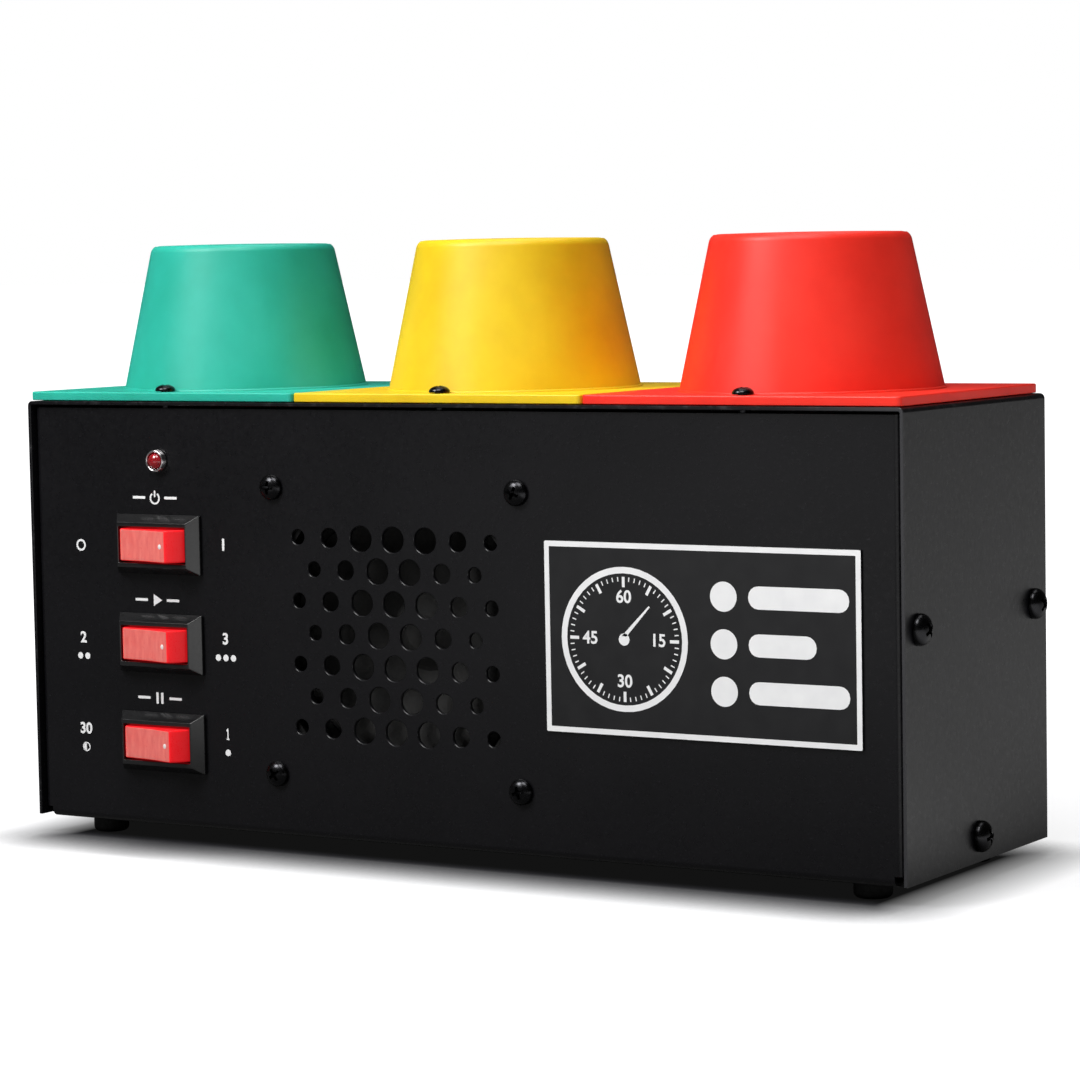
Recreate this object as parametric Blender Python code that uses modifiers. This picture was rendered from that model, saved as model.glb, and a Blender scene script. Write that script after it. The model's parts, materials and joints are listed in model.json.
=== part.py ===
"""Gym round timer: a folded steel case with three signal lamps on top, a loudspeaker and three
rocker switches in front. Metres, +Z up, front towards -Y, origin on the floor under the middle."""

import math

import bmesh
import bpy
from mathutils import Matrix, Vector

# ---- driving dimensions, in metres ----
FOOT_HEIGHT = 0.006  # floor to the underside of the chassis
SHEET = 0.0012  # steel thickness
GAP = 0.0003  # between pieces that touch
COVER_LENGTH = 0.330
COVER_DEPTH = 0.103
COVER_HEIGHT = 0.1427  # chassis underside to the top of the cover
COVER_BEND = 0.002
COVER_HEM = 0.0006  # how far the cover's sides stop above the chassis underside
CHASSIS_DEPTH = 0.100
CHASSIS_BEND = 0.0026
CORNER_RELIEF = 0.0034  # half the width of the notch where three folds meet
PANEL_TOP_GAP = 0.001  # between the front panel's top edge and the cover
FLANGE_WIDTH = 0.013  # of the chassis' folded edges that the cover is screwed to

LENS_PITCH = 0.1094
LENS_WIDTH = 0.1090
LENS_FRONT = -0.0510
LENS_BACK = 0.0484
LENS_FLANGE = 0.0029
LENS_BASE_RADIUS = 0.0415
LENS_TOP_RADIUS = 0.0310
LENS_HEIGHT = 0.049  # of the cup above its flange
LENS_WALL = 0.002
LENS_CORNER = 0.0034
LENS_SCREW_INSET = 0.0043
LAMP_OPENING = 0.034  # radius of the hole in the cover under each lens

SWITCH_X = -0.1107
SWITCH_HEIGHTS = {"power": 0.0950, "round": 0.0617, "rest": 0.0284}  # above the chassis underside
BEZEL_BASE = (0.0345, 0.0200)
BEZEL_TOP = (0.0289, 0.0150)
BEZEL_RISE = 0.005  # of the bezel's rim in front of the panel
PIVOT_DEPTH = 0.0065  # of the rocker's pivot behind the rim
ROCKER_RADIUS = 0.0146  # of the rocker's curved ends about its pivot
ROCKER_HEIGHT = 0.0108
ROCKER_TILT = math.radians(12)  # each way from level
ROCKER_DISH = math.radians(4)  # slope of each half of the rocker's face
PIN_RADIUS = 0.0012
PIN_LENGTH = 0.0138
SWITCH_BODY = (0.0316, 0.0205, 0.0148)
SWITCH_CAVITY = (0.0298, 0.0122)
SWITCH_MOUTH = 0.0278  # narrower than the cavity, so that its lip hides the rocker's ends
SWITCH_LIP = 0.0011
CAVITY_DEPTH = 0.0155
TERMINAL = (0.0008, 0.008, 0.0048)
TERMINAL_PITCH = 0.0095
SNAP_LUG = (0.0024, 0.005, 0.006)
LUG_SLOPE = 0.0002  # how far the lug's back edge sinks into the body

SPEAKER_X = -0.0170
SPEAKER_Z = 0.0677
SPEAKER_SCREWS = 0.0945  # spacing, across and up
SPEAKER_FRAME = 0.108
HOLE_PITCH_X = 0.0124
HOLE_PITCH_Z = 0.0104
HOLE_ROWS = (7, 6, 7, 6, 7, 6, 7)
HOLE_RADII = (0.0042, 0.0042, 0.0032, 0.0025)  # from the middle outwards

INDICATOR_X = -0.1107
INDICATOR_Z = 0.123
PLATE_SIZE = (0.110, 0.060)
PLATE_CENTRE = (0.0955, 0.0705)
PLATE_THICKNESS = 0.0005

FOOT_X = 0.146
FOOT_Y = 0.0358
FOOT_RADIUS = 0.006
FOOT_CORNER = 0.0018

SIDE_SCREWS = ((-0.042, 0.0765), (0.042, 0.0765), (0.0, 0.0085))  # depth, height

# Head radius, head height, shank radius and length of each kind of screw.
COVER_SCREW = (0.0049, 0.0036, 0.00145, 0.0078)
FOOT_SCREW = (0.0026, 0.0017, 0.00115, 0.0090)
LENS_SCREW = (0.0034, 0.0022, 0.0015, 0.0090)
SPEAKER_SCREW = (0.0042, 0.0026, 0.0019, 0.0090)
INLET_SCREW = (0.0030, 0.0019, 0.0014, 0.0080)

# Radii of the holes.
SCREW_HOLE = 0.0018
LENS_SCREW_HOLE = 0.0019
FOOT_SCREW_HOLE = 0.0015
SPEAKER_SCREW_HOLE = 0.0022
INDICATOR_HOLE = 0.0033

INLET_X = 0.130
INLET_Z = 0.034
INLET_RISE = 0.0022
INLET_FLANGE = (0.050, 0.0225)
INLET_CORNER = 0.004
INLET_CUTOUT = (0.0286, 0.0206)
INLET_SHELL = (0.0280, 0.0235, 0.0200)
INLET_SOCKET = (0.0246, 0.0168)
INLET_DEPTH = 0.020
INLET_CHAMFER = 0.0035
INLET_PIN = (0.002, 0.0135, 0.004)
INLET_PINS = ((-0.007, -0.002), (0.007, -0.002), (0, 0.002))
INLET_SCREW_REACH = 0.020  # of each screw from the inlet's middle

RAIL_TOP = 0.114
RAIL_LENGTH = 0.300
RAIL_FRONT = -0.013
RAIL_DROP = 0.016
HOLDER_HOLE = 0.004
LAMP_LIFT = 0.003  # of the lamp's end above the bottom of its holder

BOARD_CENTRE = (-0.040, 0.006, 0.0108)
BOARD_SIZE = (0.104, 0.066, 0.0016)
BOARD_RAIL = (0.006, 0.060, 0.0135)
RELAY = (0.019, 0.015, 0.015)
CHIP = (0.024, 0.007, 0.004)
SMALL_CHIP = (0.018, 0.007, 0.004)
CONNECTOR = (0.020, 0.009, 0.010)
CAPACITOR = (0.005, 0.014)  # radius and height

TRANSFORMER_PLACE = (0.076, 0.014)
TRANSFORMER_CORE = (0.018, 0.040, 0.048)
TRANSFORMER_WINDING = (0.034, 0.026, 0.028)
TRANSFORMER_TABS = (0.0178, 0.064, 0.0012)
LAMP_Y = (LENS_FRONT + LENS_BACK) / 2

PANEL_FRONT = -CHASSIS_DEPTH / 2
PANEL_BACK = PANEL_FRONT + SHEET
RIM_Y = PANEL_FRONT - BEZEL_RISE
PIVOT_Y = RIM_Y + PIVOT_DEPTH
LENS_SEAT = COVER_HEIGHT + GAP
LENS_COLOURS = {"green": -1, "yellow": 0, "red": 1}

# The rocker's face ends where its end arc meets the rim when that end is pressed in.
CORNER_ANGLE = math.acos((PIVOT_DEPTH + 0.0001) / ROCKER_RADIUS) - ROCKER_TILT
FRONT_REACH = -PIVOT_Y + ROCKER_RADIUS * math.cos(CORNER_ANGLE - ROCKER_TILT)
BACK_REACH = CHASSIS_DEPTH / 2 + GAP + INLET_RISE + GAP + INLET_SCREW[1]
BODY_Y = (FRONT_REACH - BACK_REACH) / 2  # centres the whole object on the origin

for old in list(bpy.data.objects):
    bpy.data.objects.remove(old, do_unlink=True)


def new_collection(name):
    collection = bpy.data.collections.new(name)
    bpy.context.scene.collection.children.link(collection)
    return collection


PARTS = new_collection("gym_round_timer")
CUTTERS = new_collection("cutters")

frame = bpy.data.objects.new("timer_frame", None)
frame.location = (0, BODY_Y, FOOT_HEIGHT)
PARTS.objects.link(frame)


# ---- materials ----
def material(name, colour, roughness, metallic=0.0, alpha=1.0):
    made = bpy.data.materials.new(name)
    made.use_nodes = True
    shader = made.node_tree.nodes["Principled BSDF"]
    shader.inputs["Base Color"].default_value = (*colour, 1)
    shader.inputs["Roughness"].default_value = roughness
    shader.inputs["Metallic"].default_value = metallic
    shader.inputs["Alpha"].default_value = alpha
    return made


CASE_BLACK = material("case_powder_coat", (0.012, 0.012, 0.013), 0.55)
PLATE_BLACK = material("nameplate_print", (0.01, 0.01, 0.01), 0.4)
SCREW_BLACK = material("black_steel", (0.015, 0.015, 0.016), 0.3, 0.9)
FOOT_RUBBER = material("foot_rubber", (0.01, 0.01, 0.01), 0.75)
SWITCH_BLACK = material("switch_plastic", (0.014, 0.014, 0.015), 0.38)
ROCKER_RED = material("rocker_red", (0.75, 0.03, 0.04), 0.2)
CHROME = material("chrome", (0.75, 0.75, 0.76), 0.12, 1.0)
LED_RED = material("indicator_red", (0.45, 0.01, 0.02), 0.15)
BARE_STEEL = material("bare_steel", (0.55, 0.56, 0.57), 0.35, 1.0)
SPEAKER_STEEL = material("speaker_steel", (0.02, 0.02, 0.02), 0.4, 0.8)
SPEAKER_PAPER = material("speaker_paper", (0.02, 0.02, 0.02), 0.85)
SPEAKER_FOAM = material("speaker_foam", (0.012, 0.012, 0.012), 0.9)
LAMP_GLASS = material("lamp_glass", (0.9, 0.9, 0.88), 0.05, 0.0, 0.35)
HOLDER_PHENOLIC = material("lamp_holder", (0.03, 0.025, 0.02), 0.45)
BOARD_GREEN = material("circuit_board", (0.02, 0.16, 0.07), 0.4)
RAIL_NYLON = material("board_rail", (0.7, 0.7, 0.68), 0.5)
TRANSFORMER = material("transformer", (0.25, 0.22, 0.18), 0.5, 0.4)
INLET_BLACK = material("inlet_plastic", (0.016, 0.016, 0.017), 0.42)
WIRE_GREY = material("wire_sleeve", (0.08, 0.08, 0.09), 0.5)
LENS_MATERIALS = {
    "green": material("lens_green", (0.045, 0.43, 0.33), 0.42),
    "yellow": material("lens_yellow", (0.80, 0.52, 0.02), 0.42),
    "red": material("lens_red", (0.80, 0.045, 0.025), 0.42),
}


# ---- building tools ----
def place(name, mesh, made_of=None, location=(0, 0, 0), turn=(0, 0, 0), cutter=False):
    """An object of this mesh, held by the timer's frame."""
    placed = bpy.data.objects.new(name, mesh)
    placed.location = location
    placed.rotation_euler = turn
    placed.parent = frame
    if cutter:
        CUTTERS.objects.link(placed)
        placed.hide_render = True
        placed.display_type = "WIRE"
    else:
        PARTS.objects.link(placed)
    if made_of and not mesh.materials:
        mesh.materials.append(made_of)
    return placed


def mesh_of(name, bm):
    mesh = bpy.data.meshes.new(name)
    bmesh.ops.recalc_face_normals(bm, faces=bm.faces)
    bm.to_mesh(mesh)
    bm.free()
    return mesh


def add_box(bm, size, centre):
    matrix = Matrix.Translation(centre) @ Matrix.Diagonal((*size, 1))
    return bmesh.ops.create_cube(bm, size=1, matrix=matrix)["verts"]


def add_cylinder(bm, radius, length, centre, axis="Z", segments=16, top_radius=None):
    turns = {"X": Matrix.Rotation(math.pi / 2, 4, "Y"), "Y": Matrix.Rotation(-math.pi / 2, 4, "X")}
    matrix = Matrix.Translation(centre) @ turns.get(axis, Matrix.Identity(4))
    bmesh.ops.create_cone(
        bm,
        cap_ends=True,
        segments=segments,
        radius1=radius,
        radius2=radius if top_radius is None else top_radius,
        depth=length,
        matrix=matrix,
    )


def box_mesh(name, size, centre=(0, 0, 0), radius=0.0, segments=2, chosen=None):
    """A box whose chosen edges are rounded; chosen says of an edge's middle whether it is."""
    bm = bmesh.new()
    add_box(bm, size, centre)
    if radius:
        edges = [e for e in bm.edges if not chosen or chosen((e.verts[0].co + e.verts[1].co) / 2)]
        bmesh.ops.bevel(
            bm, geom=edges, offset=radius, segments=segments, affect="EDGES", profile=0.5
        )
    return mesh_of(name, bm)


def cylinders_mesh(name, rows, axis, segments=12):
    """Separate round cutters; each row is radius, length and centre."""
    bm = bmesh.new()
    for radius, length, centre in rows:
        add_cylinder(bm, radius, length, centre, axis, segments)
    return mesh_of(name, bm)


def modify(target, kind, operation, other):
    step = target.modifiers.new(kind, "BOOLEAN")
    step.operation = operation
    step.object = other
    step.solver = "EXACT"


def cut(target, *cutters):
    for cutter in cutters:
        modify(target, "cut", "DIFFERENCE", cutter)


def join(target, *others):
    for other in others:
        modify(target, "join", "UNION", other)


def cutter_of(mesh, location=(0, 0, 0), turn=(0, 0, 0)):
    return place(mesh.name, mesh, None, location, turn, cutter=True)


def turned_mesh(name, profile, steps=32):
    """Turns a profile of radius and height round Z. It runs from the top middle, down the outside."""
    bm = bmesh.new()
    points = [bm.verts.new((radius, 0, height)) for radius, height in profile]
    for first, second in zip(points, points[1:]):
        bm.edges.new((first, second))
    if profile[0][0] > 0:
        bm.edges.new((points[-1], points[0]))
    mesh = bpy.data.meshes.new(name)
    bm.to_mesh(mesh)
    bm.free()
    guide = bpy.data.objects.new(name, mesh)
    bpy.context.scene.collection.objects.link(guide)
    turn = guide.modifiers.new("turn", "SCREW")
    turn.steps = turn.render_steps = steps
    turn.use_merge_vertices = True
    turn.merge_threshold = 0.00001
    return baked(guide, name)


def baked(built, name):
    """The evaluated mesh of an object, which is then removed."""
    bpy.context.view_layer.update()
    graph = bpy.context.evaluated_depsgraph_get()
    mesh = bpy.data.meshes.new_from_object(built.evaluated_get(graph))
    mesh.name = name
    bpy.data.objects.remove(built, do_unlink=True)
    smooth(mesh)
    return mesh


def smooth(mesh, angle=35):
    mesh.shade_smooth()
    mesh.set_sharp_from_angle(angle=math.radians(angle))


def arc(centre, radius, start, end, count):
    """Points on an arc, as radius and height; angles in degrees from the outward direction."""
    angles = [math.radians(start + (end - start) * i / count) for i in range(count + 1)]
    return [(centre[0] + radius * math.cos(a), centre[1] + radius * math.sin(a)) for a in angles]


# ---- fasteners ----
def pan_screw_mesh(name, head_radius, head_height, shank_radius, length, steps=10):
    """A cross-recess pan-head screw: head above the origin, shank below it."""
    profile = [
        (0, head_height),
        (head_radius * 0.42, head_height * 0.95),
        (head_radius * 0.78, head_height * 0.72),
        (head_radius, head_height * 0.1),
        (head_radius, 0),
        (shank_radius, 0),
        (shank_radius, -length),
        (0, -length),
    ]
    head = bpy.data.objects.new(name, turned_mesh(name, profile, steps))
    bpy.context.scene.collection.objects.link(head)
    arm = head_radius * 0.5
    bm = bmesh.new()
    add_box(bm, (2 * arm, arm * 0.42, head_height), (0, 0, head_height * 0.95))
    across = bpy.data.objects.new("recess_across", mesh_of("recess_across", bm))
    bm = bmesh.new()
    add_box(bm, (arm * 0.42, 2 * arm, head_height), (0, 0, head_height * 0.95))
    along = bpy.data.objects.new("recess_along", mesh_of("recess_along", bm))
    for slot in (across, along):
        bpy.context.scene.collection.objects.link(slot)
        modify(head, "recess", "DIFFERENCE", slot)
    mesh = baked(head, name)
    for slot in (across, along):
        bpy.data.objects.remove(slot, do_unlink=True)
    return mesh


OUT_FRONT = (math.pi / 2, 0, 0)
OUT_BACK = (-math.pi / 2, 0, 0)
OUT_RIGHT = (0, math.pi / 2, 0)
OUT_LEFT = (0, -math.pi / 2, 0)
OUT_BELOW = (math.pi, 0, 0)


# ---- case ----
def make_chassis():
    """Front panel, floor and back panel folded from one sheet, with edges turned in at the sides."""
    half = COVER_LENGTH / 2 - SHEET - GAP
    top = COVER_HEIGHT - SHEET - PANEL_TOP_GAP

    def below_top(middle):
        return middle.z < top - 0.001

    size = (2 * half, CHASSIS_DEPTH, top)
    chassis = place(
        "chassis",
        box_mesh("chassis", size, (0, 0, top / 2), CHASSIS_BEND, 3, below_top),
        CASE_BLACK,
    )
    inner = (2 * (half - SHEET), CHASSIS_DEPTH - 2 * SHEET, top + 0.01)
    inner_z = SHEET + inner[2] / 2
    hollow = box_mesh(
        "chassis_hollow",
        inner,
        (0, 0, inner_z),
        CHASSIS_BEND - SHEET,
        3,
        lambda middle: middle.z < top,
    )
    opening = CHASSIS_DEPTH - 2 * FLANGE_WIDTH
    sides = box_mesh(
        "side_openings", (COVER_LENGTH, opening, top), (0, 0, FLANGE_WIDTH + top / 2)
    )
    cut(chassis, cutter_of(hollow), cutter_of(sides))
    bm = bmesh.new()
    for side in (-1, 1):
        for end in (-1, 1):
            centre = (side * half, end * CHASSIS_DEPTH / 2, 0)
            add_box(bm, (2 * CORNER_RELIEF,) * 3, centre)
    cut(chassis, cutter_of(mesh_of("corner_reliefs", bm)))
    cut_front_panel(chassis)
    cut_back_and_floor(chassis, half)


def speaker_holes():
    """Radius, across and up of each hole of the grille, in staggered rows."""
    for row, count in enumerate(HOLE_ROWS):
        up = SPEAKER_Z + (len(HOLE_ROWS) // 2 - row) * HOLE_PITCH_Z
        for place_in_row in range(count):
            steps = place_in_row - (count - 1) / 2
            ring = math.floor(abs(steps) + 0.5)
            yield HOLE_RADII[ring], SPEAKER_X + steps * HOLE_PITCH_X, up


def speaker_screw_places():
    for side, across in (("left", -1), ("right", 1)):
        for level, up in (("lower", -1), ("upper", 1)):
            x = SPEAKER_X + across * SPEAKER_SCREWS / 2
            z = SPEAKER_Z + up * SPEAKER_SCREWS / 2
            yield f"{level}_{side}", x, z


def cut_front_panel(chassis):
    through = 4 * SHEET
    middle = PANEL_FRONT + SHEET / 2
    rows = [(radius, through, (x, middle, z)) for radius, x, z in speaker_holes()]
    cut(chassis, cutter_of(cylinders_mesh("grille_holes", rows, "Y", 8)))
    rows = [(SPEAKER_SCREW_HOLE, through, (x, middle, z)) for _, x, z in speaker_screw_places()]
    rows.append((INDICATOR_HOLE, through, (INDICATOR_X, middle, INDICATOR_Z)))
    cut(chassis, cutter_of(cylinders_mesh("front_round_holes", rows, "Y", 12)))
    bm = bmesh.new()
    size = (SWITCH_BODY[0] + 2 * GAP, through, SWITCH_BODY[2] + 2 * GAP)
    for height in SWITCH_HEIGHTS.values():
        add_box(bm, size, (SWITCH_X, middle, height))
    cut(chassis, cutter_of(mesh_of("switch_cutouts", bm)))


def foot_places():
    for side, x in (("left", -FOOT_X), ("right", FOOT_X)):
        for end, y in (("front", -FOOT_Y), ("back", FOOT_Y)):
            yield f"{end}_{side}", x, y


def inlet_screw_places():
    return (("left", INLET_X - INLET_SCREW_REACH), ("right", INLET_X + INLET_SCREW_REACH))


def cut_back_and_floor(chassis, half):
    through = 4 * SHEET
    rows = [(FOOT_SCREW_HOLE, through, (x, y, SHEET / 2)) for _, x, y in foot_places()]
    cut(chassis, cutter_of(cylinders_mesh("foot_screw_holes", rows, "Z", 8)))
    rows = [(SCREW_HOLE, 2 * half + 0.01, (0, y, z)) for y, z in SIDE_SCREWS]
    cut(chassis, cutter_of(cylinders_mesh("flange_screw_holes", rows, "X", 8)))
    middle = -PANEL_FRONT - SHEET / 2
    rows = [(SCREW_HOLE, through, (x, middle, INLET_Z)) for _, x in inlet_screw_places()]
    cut(chassis, cutter_of(cylinders_mesh("inlet_screw_holes", rows, "Y", 8)))
    wide, tall = INLET_CUTOUT
    inlet = box_mesh("inlet_cutout", (wide, through, tall), (INLET_X, middle, INLET_Z))
    cut(chassis, cutter_of(inlet))


def make_cover():
    """The top and both sides, folded from one sheet that stands a little proud at front and back."""
    bm = bmesh.new()
    half = COVER_LENGTH / 2
    path = ((half, COVER_HEM), (half, COVER_HEIGHT), (-half, COVER_HEIGHT), (-half, COVER_HEM))
    front = [bm.verts.new((x, -COVER_DEPTH / 2, z)) for x, z in path]
    back = [bm.verts.new((x, COVER_DEPTH / 2, z)) for x, z in path]
    for i in range(len(path) - 1):
        bm.faces.new((front[i], back[i], back[i + 1], front[i + 1]))
    cover = place("cover", mesh_of("cover", bm), CASE_BLACK)
    bend = cover.modifiers.new("bends", "BEVEL")
    bend.width = COVER_BEND
    bend.segments = 3
    sheet = cover.modifiers.new("sheet", "SOLIDIFY")
    sheet.thickness = SHEET
    sheet.offset = -1
    sheet.use_even_offset = True
    rows = [(SCREW_HOLE, COVER_LENGTH + 0.01, (0, y, z)) for y, z in SIDE_SCREWS]
    cut(cover, cutter_of(cylinders_mesh("cover_side_holes", rows, "X", 8)))
    top = COVER_HEIGHT - SHEET / 2
    bm = bmesh.new()
    for step in LENS_COLOURS.values():
        add_cylinder(
            bm, LAMP_OPENING, 4 * SHEET, (step * LENS_PITCH, LAMP_Y, top), "Z", segments=20
        )
        for _, y in lens_screw_places():
            add_cylinder(bm, SCREW_HOLE, 4 * SHEET, (step * LENS_PITCH, y, top), "Z", segments=8)
    cut(cover, cutter_of(mesh_of("cover_top_holes", bm)))


def make_cover_screws():
    mesh = pan_screw_mesh("cover_screw", *COVER_SCREW, steps=16)
    seat = COVER_LENGTH / 2 + GAP
    for side, x, turn in (("left", -seat, OUT_LEFT), ("right", seat, OUT_RIGHT)):
        for spot, (y, z) in zip(("front", "back", "lower"), SIDE_SCREWS):
            place(f"cover_screw_{side}_{spot}", mesh, SCREW_BLACK, (x, y, z), turn)


def make_feet():
    height = FOOT_HEIGHT - GAP
    profile = [(FOOT_RADIUS, height)]
    profile += arc((FOOT_RADIUS - FOOT_CORNER, FOOT_CORNER), FOOT_CORNER, 0, -90, 3)
    profile += [(0.0029, 0), (0.0029, 0.0027), (0.0016, 0.0027), (0.0016, height)]
    mesh = turned_mesh("foot", profile, 16)
    screw = pan_screw_mesh("foot_screw", *FOOT_SCREW)
    for spot, x, y in foot_places():
        place(f"foot_{spot}", mesh, FOOT_RUBBER, (x, y, -FOOT_HEIGHT))
        seat = -FOOT_HEIGHT + 0.0024
        place(f"foot_screw_{spot}", screw, SCREW_BLACK, (x, y, seat), OUT_BELOW)


def make_nameplate():
    x, z = PLATE_CENTRE
    size = (PLATE_SIZE[0], PLATE_THICKNESS, PLATE_SIZE[1])
    y = PANEL_FRONT - GAP - PLATE_THICKNESS / 2
    place("nameplate", box_mesh("nameplate", size), PLATE_BLACK, (x, y, z))


# ---- lenses and lamps ----
def lens_screw_places():
    return (
        ("front", LENS_FRONT + LENS_SCREW_INSET),
        ("back", LENS_BACK - LENS_SCREW_INSET),
    )


def cup_profile(shrink, bottom):
    """Half the section of the cup, from the middle of its top down the tapered side."""
    top = LENS_FLANGE + LENS_HEIGHT - shrink
    slope = (LENS_BASE_RADIUS - LENS_TOP_RADIUS) / LENS_HEIGHT
    lean = math.atan(slope)
    corner = LENS_CORNER - shrink
    side_x = LENS_BASE_RADIUS - shrink / math.cos(lean)  # the side's radius at the flange's top
    centre_z = top - corner
    centre_x = side_x - slope * (centre_z - LENS_FLANGE) - corner / math.cos(lean)
    round_edge = arc((centre_x, centre_z), corner, 90, math.degrees(lean), 3)
    return [(0, top), *round_edge, (side_x + slope * (LENS_FLANGE - bottom), bottom), (0, bottom)]


def make_lenses():
    """Each lens is a cup on a square flange, moulded in one piece and open underneath."""
    depth = LENS_BACK - LENS_FRONT
    for colour, step in LENS_COLOURS.items():
        x = step * LENS_PITCH
        centre = (0, 0, LENS_FLANGE / 2)
        size = (LENS_WIDTH, depth, LENS_FLANGE)
        flange = box_mesh(
            f"lens_{colour}", size, centre, 0.0005, 1, lambda middle: middle.z > LENS_FLANGE * 0.9
        )
        spot = (x, LAMP_Y, LENS_SEAT)
        lens = place(f"lens_{colour}", flange, LENS_MATERIALS[colour], spot)
        cup = turned_mesh(f"cup_{colour}", cup_profile(0, LENS_FLANGE / 2), 32)
        inside = turned_mesh(f"cup_inside_{colour}", cup_profile(LENS_WALL, -0.002), 32)
        join(lens, cutter_of(cup, spot))
        cut(lens, cutter_of(inside, spot))
        middle = LENS_SEAT + LENS_FLANGE / 2
        rows = [(LENS_SCREW_HOLE, 0.01, (x, y, middle)) for _, y in lens_screw_places()]
        cut(lens, cutter_of(cylinders_mesh(f"lens_screw_holes_{colour}", rows, "Z", 8)))


def make_lens_screws():
    mesh = pan_screw_mesh("lens_screw", *LENS_SCREW)
    seat = LENS_SEAT + LENS_FLANGE + GAP
    for colour, step in LENS_COLOURS.items():
        for end, y in lens_screw_places():
            spot = (step * LENS_PITCH, y, seat)
            place(f"lens_screw_{colour}_{end}", mesh, SCREW_BLACK, spot)


def make_lamp_rail():
    """An angle along the back panel whose shelf carries the three lamp holders."""
    back = CHASSIS_DEPTH / 2 - SHEET - GAP
    shelf = (RAIL_LENGTH, back - RAIL_FRONT, SHEET)
    spot = (0, (back + RAIL_FRONT) / 2, RAIL_TOP - SHEET / 2)
    rail = place("lamp_rail", box_mesh("lamp_rail", shelf, spot), BARE_STEEL)
    drop = (RAIL_LENGTH, SHEET, RAIL_DROP)
    web = box_mesh("rail_web", drop, (0, back - SHEET / 2, RAIL_TOP - RAIL_DROP / 2))
    join(rail, cutter_of(web))
    steps = LENS_COLOURS.values()
    rows = [(HOLDER_HOLE, 0.01, (step * LENS_PITCH, LAMP_Y, RAIL_TOP)) for step in steps]
    cut(rail, cutter_of(cylinders_mesh("holder_holes", rows, "Z", 12)))


def make_lamps():
    """A candelabra lamp standing in its holder under each lens."""
    holder_section = [(0, 0.003), (0.0063, 0.003), (0.0063, 0.018), (0.0085, 0.018)]
    holder_section += [(0.0085, 0), (0, 0)]
    holder = turned_mesh("lamp_holder", holder_section, 14)
    bulb = [(0, 0.054)]
    bulb += [(0.0035, 0.0515), (0.0080, 0.0440), (0.0105, 0.0340), (0.0100, 0.0260)]
    bulb += [(0.0070, 0.0185), (0.0058, 0.0175), (0.0058, 0.0020), (0.0025, 0), (0, 0)]
    lamp = turned_mesh("lamp", bulb, 12)
    seat = RAIL_TOP + GAP
    for colour, step in LENS_COLOURS.items():
        spot = (step * LENS_PITCH, LAMP_Y, seat)
        place(f"lamp_holder_{colour}", holder, HOLDER_PHENOLIC, spot)
        place(f"lamp_{colour}", lamp, LAMP_GLASS, (*spot[:2], seat + LAMP_LIFT + GAP))


# ---- switches ----
def bezel_mesh(name):
    """The bezel's bevelled frame, solid: wide at the panel and narrow at its rim."""
    bm = bmesh.new()
    depth = BEZEL_RISE - GAP
    for vert in add_box(bm, (1, depth, 1), (0, RIM_Y + depth / 2 - PIVOT_Y, 0)):
        wide, tall = BEZEL_TOP if vert.co.y < RIM_Y + depth / 2 - PIVOT_Y else BEZEL_BASE
        vert.co.x *= wide
        vert.co.z *= tall
    return mesh_of(name, bm)


def make_switch(name, height):
    pivot = (SWITCH_X, PIVOT_Y, height)
    back_of_bezel = PANEL_FRONT - GAP - PIVOT_Y
    housing = place(f"{name}_switch_housing", bezel_mesh(f"{name}_bezel"), SWITCH_BLACK, pivot)
    bm = bmesh.new()
    length, depth, tall = SWITCH_BODY
    front = back_of_bezel - 0.001
    add_box(bm, (length, depth, tall), (0, front + depth / 2, 0))
    join(housing, cutter_of(mesh_of(f"{name}_switch_body", bm), pivot))
    bm = bmesh.new()
    for step in (-1, 0, 1):
        add_box(bm, TERMINAL, (step * TERMINAL_PITCH, front + depth + TERMINAL[1] / 2 - 0.001, 0))
    join(housing, cutter_of(mesh_of(f"{name}_terminals", bm), pivot))
    bm = bmesh.new()
    lug_y = PANEL_BACK + GAP - PIVOT_Y + SNAP_LUG[1] / 2
    for side in (-1, 1):
        for vert in add_box(bm, SNAP_LUG, (side * length / 2, lug_y, 0)):
            if vert.co.y > lug_y and abs(vert.co.x) > length / 2:
                vert.co.x = side * (length / 2 - LUG_SLOPE)
    join(housing, cutter_of(mesh_of(f"{name}_snap_lugs", bm), pivot))
    cavity_x, cavity_z = SWITCH_CAVITY
    middle = -PIVOT_DEPTH + SWITCH_LIP + CAVITY_DEPTH / 2
    inside = box_mesh(f"{name}_cavity", (cavity_x, CAVITY_DEPTH, cavity_z), (0, middle, 0))
    mouth_size = (SWITCH_MOUTH, 4 * SWITCH_LIP, cavity_z)
    mouth = box_mesh(f"{name}_mouth", mouth_size, (0, -PIVOT_DEPTH, 0))
    pin_holes = cylinders_mesh(
        f"{name}_pin_holes", [(PIN_RADIUS + GAP, tall + 0.01, (0, 0, 0))], "Z", 16
    )
    cut(housing, *(cutter_of(shape, pivot) for shape in (inside, mouth, pin_holes)))


def rocker_outline():
    """Across and outward of the rocker's side view, level, about its pivot."""
    top = math.pi / 2 - CORNER_ANGLE
    corner_x = ROCKER_RADIUS * math.cos(top)
    corner_out = ROCKER_RADIUS * math.sin(top)
    steps = [top + (math.radians(2) - top) * i / 5 for i in range(6)]
    right = [(ROCKER_RADIUS * math.cos(a), ROCKER_RADIUS * math.sin(a)) for a in steps]
    left = [(-x, out) for x, out in reversed(right)]
    middle = [(0, corner_out - corner_x * math.tan(ROCKER_DISH))]
    return middle + right + [(0.003, -0.003), (-0.003, -0.003)] + left


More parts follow.
